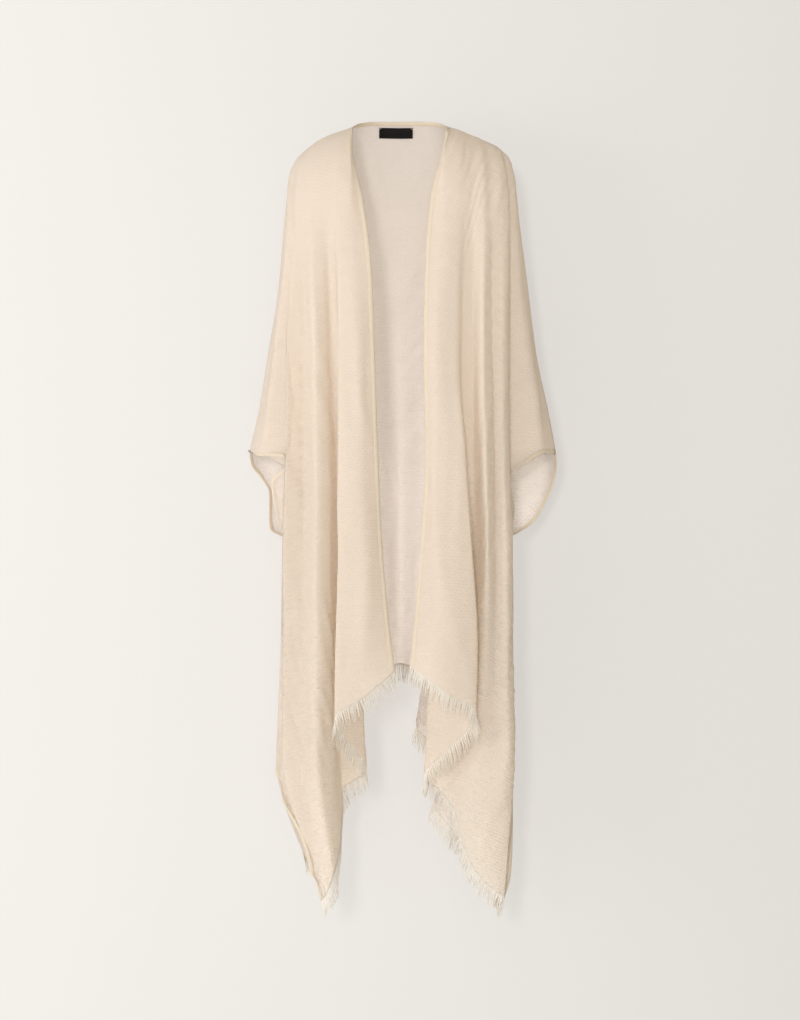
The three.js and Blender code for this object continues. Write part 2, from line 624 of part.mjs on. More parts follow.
const cloth = { colour: 0xf3e4cb, roughness: 0.95 };
const bandCloth = { colour: 0xe8d3ac, roughness: 0.9 };
const threads = { colour: 0xf6ecd9, roughness: 1 };
const labelCloth = { colour: 0x141414, roughness: 0.6 };

const PIECES = [
  ["back", panelWall("back"), cloth],
  ["front_right", panelWall("frontRight"), cloth],
  ["front_left", panelWall("frontLeft"), cloth],
  ["neck_band", neckBand(), bandCloth],
  ["front_band_right", frontBand("frontRight"), bandCloth],
  ["front_band_left", frontBand("frontLeft"), bandCloth],
  ["fringe_front_right", fringe("frontRight"), threads],
  ["fringe_front_left", fringe("frontLeft"), threads],
  ["fringe_back", fringe("back"), threads],
  ["label", label(), labelCloth],
];

const kaftan = new THREE.Group();
kaftan.name = "kaftan";
for (const [name, geometry, { colour, roughness }] of PIECES) {
  const material = new THREE.MeshStandardMaterial({ color: colour, roughness, metalness: 0 });
  const piece = new THREE.Mesh(geometry, material);
  piece.name = name;
  kaftan.add(piece);
}

export default kaftan;
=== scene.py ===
"""Open-front kaftan of cream crinkled gauze, as it hangs on a wearer's shoulders, with nobody in it.

The panels follow the same fold lines as their solids in the frame, at a finer step, with the small creases,
hems, fringes, label, weave and light added. The tables are in millimetres, and the pieces in metres.
"""
import math
from functools import reduce

import bmesh
import bpy
import numpy as np
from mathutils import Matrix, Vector


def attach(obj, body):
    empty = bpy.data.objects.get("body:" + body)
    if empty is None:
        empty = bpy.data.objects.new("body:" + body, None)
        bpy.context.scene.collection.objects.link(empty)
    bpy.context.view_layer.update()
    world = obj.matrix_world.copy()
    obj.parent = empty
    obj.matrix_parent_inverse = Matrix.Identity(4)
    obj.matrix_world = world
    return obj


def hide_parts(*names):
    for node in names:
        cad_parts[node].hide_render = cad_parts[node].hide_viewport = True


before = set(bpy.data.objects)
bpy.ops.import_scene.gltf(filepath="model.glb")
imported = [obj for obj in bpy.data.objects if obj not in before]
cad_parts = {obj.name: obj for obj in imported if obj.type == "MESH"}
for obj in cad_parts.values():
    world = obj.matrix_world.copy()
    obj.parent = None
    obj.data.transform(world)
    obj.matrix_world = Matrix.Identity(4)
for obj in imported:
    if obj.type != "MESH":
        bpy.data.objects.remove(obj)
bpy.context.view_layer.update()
ROOT = "root"
MM = 0.001


def add_object(name, data):
    made = bpy.data.objects.new(name, data)
    bpy.context.collection.objects.link(made)
    return made


# ------------------------------------------------ camera

VIEW_HEIGHT_PX = 1020
METRES_PER_PIXEL = 0.00184  # in the plane of the side seams
ROWS_ABOVE_NECK = 122
CAMERA_DISTANCE = 5.2
SENSOR = 36.0


def make_camera():
    """A level camera straight in front, at the middle of the view's height."""
    data = bpy.data.cameras.new("camera")
    data.sensor_width = SENSOR
    data.lens = SENSOR * CAMERA_DISTANCE / (VIEW_HEIGHT_PX * METRES_PER_PIXEL)
    camera = add_object("camera", data)
    camera.location = (0, -CAMERA_DISTANCE, (ROWS_ABOVE_NECK - VIEW_HEIGHT_PX / 2) * METRES_PER_PIXEL)
    camera.rotation_euler = (math.pi / 2, 0, 0)
    bpy.context.scene.camera = camera


make_camera()

# ------------------------------------------------ sizes

SEAM_GAP = 0.4
CLOTH_THICKNESS = 0.7  # the gauze itself, which is thinner than its solid in the frame
BAND_SIZE = (8.0, 2.0)  # width and height of the rolled neck and front edges
HEM_SIZE = (7.5, 2.1)  # and of the hems of the cuffs and the slits
LEVEL = {"shoulder": 0, "chest": 1, "elbow": 2, "cuff": 3, "joint": 4, "slit": 4.5, "skirt": 5, "hem": 6}
LAST_FOLD = 11
NECK_POINT_FOLD = 3
RING_HEIGHT = {  # at the centre of the body and at its side
    "chest": (-150, -185),
    "elbow": (-425, -430),
    "cuff": (-605, -607),
    "joint": (-763, -763),
}
SKIRT_SHARE = 0.6  # how far down from the joint ring to the hem the skirt's places are
RIGHT, LEFT = -1, 1
FRONT, BACK = -1, 1
HALVES = {"front_right": (RIGHT, FRONT), "front_left": (LEFT, FRONT),
          "back_right": (RIGHT, BACK), "back_left": (LEFT, BACK)}

# ------------------------------------------------ fold tables
# A place is how far out from the middle, how far forward in a front or backward in the back, and how far down
# from the neck. The fold lines of each half are in order from the centre: how far out one starts on the
# shoulder, its place at each ring, whose height is known, and its place at the hem.

FOLD_COLUMNS = ("top", "chest", "elbow", "cuff", "joint", "skirt", "hem")
FOLDS = {
    "front_right": {
        "middle": (94, (90, 109), (80, 136), (77, 138), (72, 140), (66, 140), (62, 136, 1048)),
        "centre fold": (104, (112, 107), (111, 128), (111, 130), (111, 132), (116, 130), (118, 122, 1094)),
        "centre tuck": (114, (124, 104), (110, 108), (98, 104), (84, 97), (68, 84), (60, 68, 1182)),
        "behind tuck": (125, (134, 102), (122, 99), (114, 88), (110, 76), (110, 54), (107, 26, 1233)),
        "turn": (136, (146, 98), (134, 110), (130, 110), (127, 108), (125, 100), (110, 84, 1325)),
        "side crest": (147, (158, 92), (152, 117), (151, 119), (150, 120), (150, 119), (120, 118, 1374)),
        "side valley": (158, (170, 84), (174, 92), (175, 92), (175, 92), (174, 98), (128, 121, 1395)),
        "arm fold": (169, (190, 66), (206, 92), (207, 96), (211, 97), (212, 92), (133, 118, 1406)),
        "underarm tuck": (179, (196, 50), (152, 62), (124, 60), (126, 58), (162, 52), (137, 112, 1412)),
        "sleeve front": (187, (205, 31), (227, 44), (248, 42), (206, 30), (226, 38), (140, 106, 1416)),
    },
    "front_left": {
        "middle": (95, (78, 110), (66, 134), (68, 137), (72, 139), (78, 142), (78, 138, 1038)),
        "centre fold": (106, (104, 108), (102, 124), (116, 128), (127, 130), (139, 130), (138, 122, 1084)),
        "centre tuck": (117, (118, 105), (112, 106), (108, 102), (96, 96), (52, 86), (42, 74, 1196)),
        "behind tuck": (128, (132, 101), (131, 96), (132, 88), (130, 80), (96, 60), (72, 42, 1225)),
        "side crest": (139, (150, 99), (149, 117), (153, 117), (157, 117), (148, 104), (102, 66, 1268)),
        "valley": (150, (163, 90), (166, 92), (170, 94), (175, 96), (172, 100), (115, 86, 1322)),
        "outer crest": (161, (186, 80), (183, 97), (186, 100), (190, 104), (194, 108), (138, 106, 1368)),
        "arm fold": (172, (196, 66), (198, 74), (200, 80), (203, 86), (208, 88), (188, 114, 1414)),
        "underarm tuck": (182, (193, 52), (152, 58), (122, 58), (124, 54), (148, 52), (172, 104, 1398)),
        "sleeve front": (191, (211, 29), (231, 44), (256, 42), (196, 28), (204, 38), (179, 97, 1408)),
    },
    "back_right": {
        "neck middle": (42, (42, 96), (42, 114), (42, 124), (42, 132), (40, 138), (36, 136, 1024)),
        "centre fold": (72, (78, 98), (84, 116), (88, 122), (92, 126), (100, 126), (104, 118, 1085)),
        "neck point": (83, (104, 97), (104, 98), (98, 94), (90, 92), (80, 90), (68, 86, 1132)),
        "behind tuck": (98, (122, 93), (124, 90), (120, 82), (114, 74), (102, 66), (88, 58, 1160)),
        "side crest": (114, (138, 91), (150, 116), (150, 124), (150, 130), (142, 130), (118, 114, 1225)),
        "side valley": (130, (152, 84), (168, 86), (168, 84), (166, 82), (160, 84), (131, 84, 1270)),
        "outer crest": (145, (165, 79), (187, 104), (192, 112), (194, 116), (192, 116), (143, 106, 1305)),
        "arm fold": (159, (180, 69), (208, 82), (214, 86), (215, 88), (214, 88), (158, 92, 1330)),
        "underarm tuck": (172, (186, 54), (150, 56), (122, 56), (124, 56), (166, 58), (166, 76, 1345)),
        "sleeve back": (184, (203, 32), (228, 44), (250, 46), (208, 32), (222, 34), (172, 58, 1355)),
    },
    "back_left": {
        "neck middle": (42, (42, 96), (42, 113), (42, 122), (42, 129), (40, 134), (34, 130, 1018)),
        "centre fold": (72, (78, 98), (82, 115), (86, 121), (91, 124), (98, 124), (96, 120, 1064)),
        "neck point": (83, (104, 97), (104, 97), (98, 94), (86, 93), (50, 95), (30, 96, 1113)),
        "behind tuck": (98, (122, 93), (125, 90), (119, 84), (108, 80), (82, 82), (58, 88, 1150)),
        "side crest": (114, (138, 91), (150, 115), (148, 121), (145, 122), (138, 104), (118, 70, 1200)),
        "side valley": (130, (152, 84), (166, 86), (160, 84), (150, 82), (110, 68), (62, 40, 1256)),
        "outer crest": (145, (166, 79), (186, 103), (184, 106), (178, 102), (150, 64), (92, 24, 1300)),
        "arm fold": (160, (182, 69), (206, 82), (206, 88), (202, 92), (190, 88), (124, 56, 1345)),
        "underarm tuck": (174, (190, 54), (152, 56), (124, 56), (124, 56), (160, 56), (150, 70, 1380)),
        "sleeve back": (186, (208, 32), (232, 44), (258, 50), (196, 34), (206, 42), (170, 72, 1408)),
    },
}
CENTRE_BACK_FOLD = (0, (0, 92), (0, 98), (0, 98), (0, 98), (0, 98), (0, 98, 1003))
# The first three lines of the back start at the neck: how far backward and down, and how round the cloth
# turns over there, from 0 for straight down to 1 as on the shoulders.
NECK_TOPS = [(60, -8, 0.3), (57, -8, 0.35), (36, -2, 0.6)]

# Rows along an edge: a level and the place there. Those of the shoulder seam are only how far out and down.
# Those of a cuff's opening also have the place of the last fold line beside it.
CENTRE_EDGE = {
    RIGHT: [(0, 83, 0, 7), (0.3, 87, 42, 20), (0.6, 86, 78, 62), (1, 68, 101, 150), (1.5, 52, 118, 280),
            (2, 46, 124, 425), (3, 40, 124, 605), (4, 33, 122, 763), (5, 21, 123, 908),
            (6, 10, 122, 1005)],
    LEFT: [(0, 83, 0, 7), (0.3, 84, 42, 20), (0.6, 77, 78, 62), (1, 56, 101, 150), (1.5, 46, 118, 280),
           (2, 43, 124, 425), (3, 46, 124, 605), (4, 38, 122, 763), (5, 27, 123, 903), (6, 19, 122, 993)],
}
ARM = {
    RIGHT: [(0, 194, 0, 77), (0.4, 203, 0, 105), (1, 213, 0, 188), (1.5, 223, 0, 305), (2, 243, 0, 430),
            (2.5, 259, 0, 530), (3, 277, 0, 609)],
    LEFT: [(0, 200, 0, 73), (0.4, 210, 0, 105), (1, 220, 0, 188), (1.5, 235, 0, 305), (2, 251, 0, 430),
           (2.5, 272, 0, 530), (3, 286, 0, 604)],
}
SIDE_SEAM = {
    RIGHT: [(4, 216, 4, 763), (4.5, 219, 2, 960)],
    LEFT: [(4, 202, 4, 763), (4.5, 206, 2, 960)],
}
SHOULDER = {
    RIGHT: [(83, 7), (96, 13), (145, 35), (180, 59), (194, 77)],
    LEFT: [(83, 7), (98, 13), (155, 37), (188, 57), (200, 73)],
}
OPENING = {
    "front_right": [(3.08, (252, 36, 609), (228, 50)), (3.22, (211, 57, 613), (202, 62)),
                    (3.38, (209, 61, 634), (200, 66)), (3.58, (235, 48, 661), (214, 60)),
                    (3.78, (231, 32, 702), (213, 47))],
    "front_left": [(3.08, (266, 34, 603), (246, 50)), (3.22, (228, 53, 622), (210, 60)),
                   (3.38, (200, 58, 644), (192, 62)), (3.62, (200, 48, 668), (190, 56)),
                   (3.82, (209, 32, 716), (195, 44))],
    "back_right": [(3.12, (275, 26, 630), (250, 50)), (3.3, (259, 43, 652), (240, 58)),
                   (3.5, (243, 50, 684), (228, 62)), (3.7, (243, 44, 722), (224, 58)),
                   (3.88, (240, 26, 750), (218, 46))],
    "back_left": [(3.14, (290, 24, 632), (266, 52)), (3.32, (285, 42, 662), (262, 60)),
                  (3.52, (269, 52, 702), (246, 65)), (3.72, (248, 50, 736), (226, 62)),
                  (3.88, (222, 30, 754), (208, 50))],
}
SLIT = {
    "front_right": [(5, 224, 24, 1150), (5.3, 215, 52, 1228), (5.65, 172, 82, 1312), (6, 143, 100, 1419)],
    "front_left": [(5, 206, 22, 1150), (5.4, 205, 54, 1280), (5.75, 201, 78, 1368), (6, 187, 92, 1421)],
    "back_right": [(5, 219, 12, 1122), (5.5, 204, 24, 1250), (6, 177, 40, 1362)],
    "back_left": [(5, 205, 14, 1154), (5.5, 203, 34, 1300), (6, 184, 60, 1427)],
}

# ------------------------------------------------ smooth curves through table rows


def smooth_through(at, values, x):
    """Values at x of the curves through (at[i], values[i]) that never swing past them.

    values has a row for each at.
    """
    at, values, x = np.asarray(at, float), np.asarray(values, float), np.asarray(x, float)
    step = np.diff(at)[:, None]
    slope = np.diff(values, axis=0) / step
    tangent = np.zeros_like(values)
    tangent[0], tangent[-1] = slope[0], slope[-1]
    before, after = 2 * step[1:] + step[:-1], step[1:] + 2 * step[:-1]
    same_way = slope[:-1] * slope[1:] > 0
    with np.errstate(divide="ignore", invalid="ignore"):
        mean = (before + after) / (before / slope[:-1] + after / slope[1:])
    tangent[1:-1] = np.where(same_way, mean, 0)
    i = np.clip(np.searchsorted(at, x, side="left") - 1, 0, len(at) - 2)
    h = step[i]
    t = np.clip((x - at[i])[:, None] / h, 0, 1)
    t2, t3 = t * t, t * t * t
    return ((2 * t3 - 3 * t2 + 1) * values[i] + (t3 - 2 * t2 + t) * h * tangent[i]
            + (3 * t2 - 2 * t3) * values[i + 1] + (t3 - t2) * h * tangent[i + 1])


def path_through(rows):
    """The curve through rows of (level, place, ...), as a function of levels."""
    at, places = [row[0] for row in rows], [row[1] for row in rows]
    return lambda levels: smooth_through(at, places, levels)


def mix(a, b, t):
    return a + (b - a) * t


def unit(vectors):
    return vectors / np.maximum(np.linalg.norm(vectors, axis=-1, keepdims=True), 1e-9)


def distances(path):
    """Running length along a path, from its first point."""
    return np.concatenate([[0], np.cumsum(np.linalg.norm(np.diff(path, axis=0), axis=1))])


# ------------------------------------------------ fold lines and panels


def shoulder_height(out, side):
    outs, downs = zip(*SHOULDER[side])
    return smooth_through(outs, [[-down] for down in downs], [out])[0, 0]


def fold_line(fold, number, side, towards, opening=()):
    """One inner fold line as a function of levels. opening holds the rows of the cuff that it runs round."""
    row = dict(zip(FOLD_COLUMNS, fold))
    share = number / LAST_FOLD

    def ring(name):
        return mix(*RING_HEIGHT[name], share)

    def at(place, height):
        return (side * place[0], towards * place[1], height)

    rows = [(LEVEL[name], at(row[name], ring(name))) for name in ("chest", "elbow", "cuff")]
    for level, _, beside in opening:
        rows.append((level, at(beside, mix(ring("cuff"), ring("joint"), level - LEVEL["cuff"]))))
    rows.append((LEVEL["joint"], at(row["joint"], ring("joint"))))
    for name, part in (("skirt", SKIRT_SHARE), ("hem", 1)):
        rows.append((LEVEL[name], at(row[name], mix(RING_HEIGHT["joint"][0], -row["hem"][2], part))))
    lower = path_through(rows)
    if towards == BACK and number < len(NECK_TOPS):
        backward, down, roundness = NECK_TOPS[number]
        top = (side * row["top"], backward, -down)
    else:
        top, roundness = (side * row["top"], 0, shoulder_height(row["top"], side)), 1
    top, chest = np.array(top, float), np.array(rows[0][1], float)

    def line(levels):
        levels = np.asarray(levels, float)[:, None]
        quarter = np.clip(levels, 0, 1) * math.pi / 2
        out = mix(levels, np.sin(quarter), roundness)
        down = mix(levels, 1 - np.cos(quarter), roundness)
        roll = mix(top, chest, np.concatenate([out, out, down], axis=1))
        return np.where(levels < LEVEL["chest"], roll, lower(levels[:, 0]))

    return line


def placed(rows, side, towards=BACK):
    """Rows of (level, out, deep, down) as rows of (level, point) on one side, in front or behind."""
    return [(level, (side * out, towards * deep, -down)) for level, out, deep, down in rows]


def outer_edge(half):
    """The outer edge of a half, half a seam gap off the seam towards its own side."""
    side, towards = HALVES[half]
    arm, seam = placed(ARM[side], side), placed(SIDE_SEAM[side], side)
    opening = placed([(level, *place) for level, place, _ in OPENING[half]], side, towards)
    slit = placed(SLIT[half], side, towards)
    parts = [arm, [arm[-1], *opening, seam[0]], seam, [seam[-1], *slit]]

    def edge(levels):
        levels = np.asarray(levels, float)
        points = np.zeros((len(levels), 3))
        start = -1
        for rows in parts:
            here = (levels > start) & (levels <= rows[-1][0])
            points[here] = path_through(rows)(levels[here])
            start = rows[-1][0]
        points[:, 1] += towards * SEAM_GAP / 2
        return points

    return edge


def half_panel(half):
    """The lines of a front, or of half the back, from its centre to its outer edge."""
    side, towards = HALVES[half]
    if towards == FRONT:
        centre = path_through(placed(CENTRE_EDGE[side], side, towards))
    else:
        centre = fold_line(CENTRE_BACK_FOLD, 0, side, towards)
    inner = [fold_line(fold, number, side, towards, OPENING[half] if number == LAST_FOLD - 1 else ())
             for number, fold in enumerate(FOLDS[half].values(), 1)]
    return [centre, *inner, outer_edge(half)]


PANEL_LINES = {
    "front_right": half_panel("front_right"),
    "front_left": half_panel("front_left"),
    "back": half_panel("back_right")[:0:-1] + half_panel("back_left"),
}
FIRST_FOLD = {"front_right": 0, "front_left": 0, "back": -LAST_FOLD}
OUTWARD = {"front_right": 1, "front_left": -1, "back": 1}
STEPS = {"front_right": (300, 150), "front_left": (300, 150), "back": (205, 220)}  # rows and columns of cells
SURVEY_LEVELS = 120
SURVEY_FOLDS = 10  # steps in each fold


def surface(name, levels, folds):
    """Points of a panel, in millimetres, at each of levels and folds."""
    lines = np.array([line(levels) for line in PANEL_LINES[name]])
    numbers = FIRST_FOLD[name] + np.arange(len(lines))
    flat = smooth_through(numbers, lines.reshape(len(lines), -1), folds)
    return flat.reshape(len(folds), len(levels), 3).transpose(1, 0, 2)


def run_lengths(points, axis):
    """Running length of the cloth along one axis of a grid, from its first row or column."""
    pieces = np.linalg.norm(np.diff(points, axis=axis), axis=2)
    start = np.zeros_like(np.take(pieces, [0], axis=axis))
    return np.cumsum(np.concatenate([start, pieces], axis=axis), axis=axis)


def panel_steps(name):
    """Levels and folds of a panel's cells, which come out about even in size."""
    first, count = FIRST_FOLD[name], len(PANEL_LINES[name]) - 1
    levels = np.linspace(0, LEVEL["hem"], SURVEY_LEVELS + 1)
    folds = np.linspace(first, first + count, count * SURVEY_FOLDS + 1)
    survey = surface(name, levels, folds)
    down = run_lengths(survey, 0).mean(axis=1)
    across = run_lengths(survey, 1).mean(axis=0)
    rows, columns = STEPS[name]
    return (np.interp(np.linspace(0, down[-1], rows + 1), down, levels),
            np.interp(np.linspace(0, across[-1], columns + 1), across, folds))


def grid_normals(points, outward):
    return unit(np.cross(np.gradient(points, axis=1), np.gradient(points, axis=0)) * outward)


# ------------------------------------------------ creases

# Soft ridges and troughs: width, height, and a run of (fold, level) points.
CREASES = {
    "front_right": [
        (26, 2.2, [(1.6, 0.5), (1.2, 1.2), (0.9, 2.2), (0.8, 3.4)]),
        (20, -2.4, [(4.6, 0.7), (4.4, 1.3), (4.2, 2.1), (4.1, 3.2)]),
        (16, 2.0, [(6.5, 0.9), (6.3, 1.5), (6.0, 2.4)]),
        (18, 2.6, [(10.4, 1.3), (10.1, 2.0), (9.9, 2.8)]),
        (14, -2.2, [(10.8, 1.9), (10.4, 2.5), (10.3, 3.0)]),
        (22, 2.4, [(0.5, 3.6), (0.7, 4.4), (1.1, 5.2), (1.4, 5.9)]),
        (18, 2.4, [(6.8, 4.2), (6.3, 5.0), (5.9, 5.7)]),
        (16, -2.4, [(5.2, 4.6), (5.5, 5.2), (5.9, 5.8)]),
        (9, -3.5, [(7.0, 1.2), (7.0, 2.4), (7.0, 3.6), (7.1, 4.6)]),
    ],
    "front_left": [
        (26, 2.2, [(2.3, 0.4), (1.6, 1.0), (1.1, 1.9), (1.0, 3.0)]),
        (16, 1.2, [(7.4, 0.5), (6.4, 0.95), (5.6, 1.5)]),
        (15, -1.2, [(8.2, 0.55), (7.4, 0.9), (6.6, 1.35), (6.2, 1.8)]),
        (14, 0.9, [(5.8, 0.35), (5.0, 0.8), (4.5, 1.3)]),
        (18, 2.4, [(10.5, 1.4), (10.2, 2.1), (9.9, 2.8)]),
        (13, -2.0, [(10.8, 2.0), (10.5, 2.5), (10.3, 2.9)]),
        (22, 2.6, [(0.6, 3.4), (0.9, 4.2), (1.3, 5.0), (1.6, 5.8)]),
        (16, 2.4, [(7.6, 3.8), (6.6, 4.4), (5.8, 5.1)]),
        (15, -2.2, [(8.0, 4.3), (7.0, 4.9), (6.2, 5.6)]),
        (13, 2.0, [(7.9, 5.0), (7.2, 5.4), (6.6, 5.8)]),
        (17, 4.5, [(5.6, 0.9), (5.7, 1.6), (5.7, 2.4), (5.7, 3.2), (5.6, 4.1)]),
        (9, -3.0, [(7.0, 1.1), (6.9, 2.2), (6.8, 3.3)]),
    ],
    "back": [
        (28, 2.6, [(-2.4, 0.4), (-1.8, 1.2), (-1.4, 2.4), (-1.2, 3.6)]),
        (26, 2.4, [(2.2, 0.5), (1.7, 1.3), (1.2, 2.6), (1.1, 3.9)]),
        (18, -2.4, [(-6.0, 0.6), (-5.1, 1.2), (-4.6, 2.0)]),
        (18, 2.4, [(6.4, 0.5), (5.4, 1.1), (4.7, 1.9)]),
        (16, 2.2, [(-7.6, 0.7), (-6.8, 1.4), (-6.2, 2.2)]),
        (16, -2.2, [(7.8, 0.8), (7.0, 1.4), (6.1, 2.1)]),
        (18, 2.4, [(-10.4, 1.4), (-10.1, 2.2), (-9.8, 2.9)]),
        (18, 2.2, [(10.5, 1.3), (10.2, 2.1), (9.9, 2.8)]),
        (24, 2.2, [(-0.4, 2.4), (-0.3, 3.6), (-0.6, 4.8)]),
        (18, 2.2, [(6.8, 4.0), (6.0, 4.8), (5.4, 5.5)]),
        (18, -2.2, [(-6.9, 4.1), (-6.2, 4.9), (-5.7, 5.6)]),
    ],
}
# Patches of small ripples: their middle (fold, level), their reach across and down, how far they lean off
# straight down in degrees, their spacing and their height.
RIPPLES = {
    "front_right": [
        ((5.0, 2.6), (220, 380), 3, 34, 0.5),
        ((4.5, 5.0), (200, 260), -12, 24, 0.8),
    ],
    "front_left": [
        ((6.0, 0.8), (110, 150), 8, 16, 0.45),
        ((4.0, 2.8), (220, 360), -4, 32, 0.5),
        ((6.5, 5.1), (200, 260), 26, 18, 0.9),
    ],
    "back": [
        ((-5.0, 1.0), (160, 160), 16, 18, 0.9),
        ((5.0, 1.0), (160, 160), -16, 18, 0.9),
        ((0.0, 3.0), (500, 500), 3, 36, 0.9),
        ((-5.0, 5.0), (260, 280), -14, 22, 1.0),
        ((5.0, 5.0), (260, 280), 14, 22, 1.0),
    ],
}
# The uneven hang and crinkle all over: how wide and how long a bump is, its height, and its seed.
HANG = [(55, 380, 2.2, 3), (26, 150, 0.6, 17), (14, 60, 0.3, 41), (10, 16, 0.2, 59)]
LATTICE = 64
CREASE_POINTS = 24
CREASE_ENDS = 0.6  # a crease dies out towards its ends as this power of a sine
CREASE_FALL = 2.2  # how steeply it falls off to its sides
RIPPLE_WANDER = {"by": 0.7, "over": 0.5, "along": 0.22, "seed": 7}  # ripples stray, and then straighten again
RIPPLE_BREAKS = {"over": 0.8, "along": 0.16, "seed": 23}  # and they get lower and higher
EDGE_REACH = 14.0  # creases fade out over this width at a panel's edges


def bumps(x, y, seed):
    """Soft uneven bumps between -1 and 1 about one unit wide, the same each run."""
    lattice = np.random.default_rng(seed).uniform(-1, 1, (LATTICE, LATTICE))
    i, j = np.floor(x).astype(int), np.floor(y).astype(int)
    s, t = x - i, y - j
    s, t = s * s * (3 - 2 * s), t * t * (3 - 2 * t)

    def corner(over, up):
        return lattice[(i + over) % LATTICE, (j + up) % LATTICE]

    return mix(mix(corner(0, 0), corner(1, 0), s), mix(corner(0, 1), corner(1, 1), s), t)


def crease_heights(name, points):
    """Height of a panel's creases at each point of its grid."""
    heights = np.zeros(points.shape[:2])
    share = np.linspace(0, 1, CREASE_POINTS)
    fade = np.sin(np.pi * share) ** CREASE_ENDS
    for width, height, run in CREASES[name]:
        at = np.linspace(0, 1, len(run))
        folds, levels = (np.interp(share, at, values) for values in zip(*run))
        nearest = np.full(points.shape[:2], np.inf)
        strength = np.zeros(points.shape[:2])
        for level, fold, weight in zip(levels, folds, fade):
            distance = np.linalg.norm(points - surface(name, [level], [fold])[0, 0], axis=2)
            strength = np.where(distance < nearest, weight, strength)
            nearest = np.minimum(distance, nearest)
        heights += height * strength * np.exp(-CREASE_FALL * (nearest / width) ** 2)
    return heights


def ripple_heights(name, panel):
    across, down = panel["across"], panel["down"]
    heights = np.zeros(across.shape)
    stray, breaks = RIPPLE_WANDER, RIPPLE_BREAKS
    for number, ((fold, level), reach, lean, spacing, height) in enumerate(RIPPLES[name]):
        i = np.abs(panel["levels"] - level).argmin()
        j = np.abs(panel["folds"] - fold).argmin()
        x, y = across - across[i, j], down - down[i, j]
        inside = np.exp(-((x / reach[0]) ** 2) - (y / reach[1]) ** 2)
        lean = math.radians(lean)
        over = (x * math.cos(lean) + y * math.sin(lean)) / spacing
        along = (y * math.cos(lean) - x * math.sin(lean)) / spacing
        strays = bumps(over * stray["over"], along * stray["along"], stray["seed"] + number)
        over = over + stray["by"] * strays
        uneven = 1 + bumps(over * breaks["over"], along * breaks["along"], breaks["seed"] + number)
        heights += height * inside * uneven * np.sin(over * 2 * math.pi)
    return heights


def hang_heights(panel, offset):
    heights = np.zeros(panel["across"].shape)
    for wide, long, height, seed in HANG:
        heights += height * bumps(panel["across"] / wide + offset, panel["down"] / long + offset, seed)
    return heights


def edge_fade(panel):
    """1 inside a panel and 0 at its centre and outer edges and the shoulder, so that seams stay shut."""
    across = panel["across"]
    from_side = np.minimum(across, across[:, -1:] - across)
    return np.clip(np.minimum(from_side, panel["down"]) / EDGE_REACH, 0, 1)


# ------------------------------------------------ meshes


def mesh_object(name, points, faces, uvs=None):
    """A smooth mesh object from points in metres. uvs is one pair for each point."""
    mesh = bpy.data.meshes.new(name)
    mesh.from_pydata([tuple(p) for p in points], [], faces)
    if uvs is not None:
        layer = mesh.uv_layers.new(name="cloth")
        corner_points = np.zeros(len(mesh.loops), dtype=np.int32)
        mesh.loops.foreach_get("vertex_index", corner_points)
        layer.data.foreach_set("uv", np.asarray(uvs, float)[corner_points].ravel())
    mesh.polygons.foreach_set("use_smooth", [True] * len(mesh.polygons))
    mesh.update()
    return add_object(name, mesh)


def grid_faces(rows, columns, flip=False):
    """Quads of a grid of rows x columns points."""
    i, j = np.meshgrid(np.arange(rows - 1), np.arange(columns - 1), indexing="ij")
    a = (i * columns + j).ravel()
    quads = np.stack([a, a + 1, a + columns + 1, a + columns], axis=1)
    return (quads[:, ::-1] if flip else quads).tolist()


def as_plain_mesh(piece):
    """The piece with its modifiers applied."""
    shown = piece.evaluated_get(bpy.context.evaluated_depsgraph_get())
    plain = bpy.data.meshes.new_from_object(shown)
    plain.name = piece.data.name
    piece.modifiers.clear()
    piece.data = plain
    return piece


def face_outwards(piece):
    shape = bmesh.new()
    shape.from_mesh(piece.data)
    bmesh.ops.recalc_face_normals(shape, faces=shape.faces)
    shape.to_mesh(piece.data)
    shape.free()
    return piece


def thickened(piece, thickness):
    solid = piece.modifiers.new("thickness", "SOLIDIFY")
    solid.thickness = thickness * MM
    solid.offset = 0
    return as_plain_mesh(piece)


def keep(piece, material):
    """Puts a finished piece on the frame."""
    piece.data.materials.clear()
    piece.data.materials.append(material)
    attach(piece, ROOT)
    return piece


PANELS = {}


def survey_panel(name, offset):
    """A panel's fine grid with its creases, kept in PANELS for what lies on it."""
    levels, folds = panel_steps(name)
    points = surface(name, levels, folds)
    panel = {"levels": levels, "folds": folds}
    panel["across"], panel["down"] = run_lengths(points, 1), run_lengths(points, 0)
    heights = crease_heights(name, points) + ripple_heights(name, panel) + hang_heights(panel, offset)
    heights = heights * edge_fade(panel)
    panel["points"] = points + grid_normals(points, OUTWARD[name]) * heights[:, :, None]
    panel["normals"] = grid_normals(panel["points"], OUTWARD[name])
    PANELS[name] = panel


def make_panel(name):
    panel = PANELS[name]
    rows, columns = panel["across"].shape
    uvs = np.stack([panel["across"], -panel["down"]], axis=2).reshape(-1, 2) * MM
    faces = grid_faces(rows, columns, flip=OUTWARD[name] < 0)
    piece = mesh_object(name + "_gauze", panel["points"].reshape(-1, 3) * MM, faces, uvs)
    return thickened(piece, CLOTH_THICKNESS)


# ------------------------------------------------ bands and hems

BAND_SIDES = 10
BAND_INSET = 0.42  # of a roll's width, from the edge to its middle
BAND_UNEVEN = {"by": 0.09, "length": 23, "seed": 5}
NECK_TURN_LEVEL = 0.16  # how far down the front edges the neck's binding goes
CORNER_ROUNDING = 16.0
EASE_STEP = 2.0
STITCH_SHARE = 0.8  # of the width of a hem, from its edge to its row of stitches
NECK_BINDING_STOP = 0.1  # folds short of the neck points
BESIDE = 3  # cells in from an edge to the points that show the way into the cloth


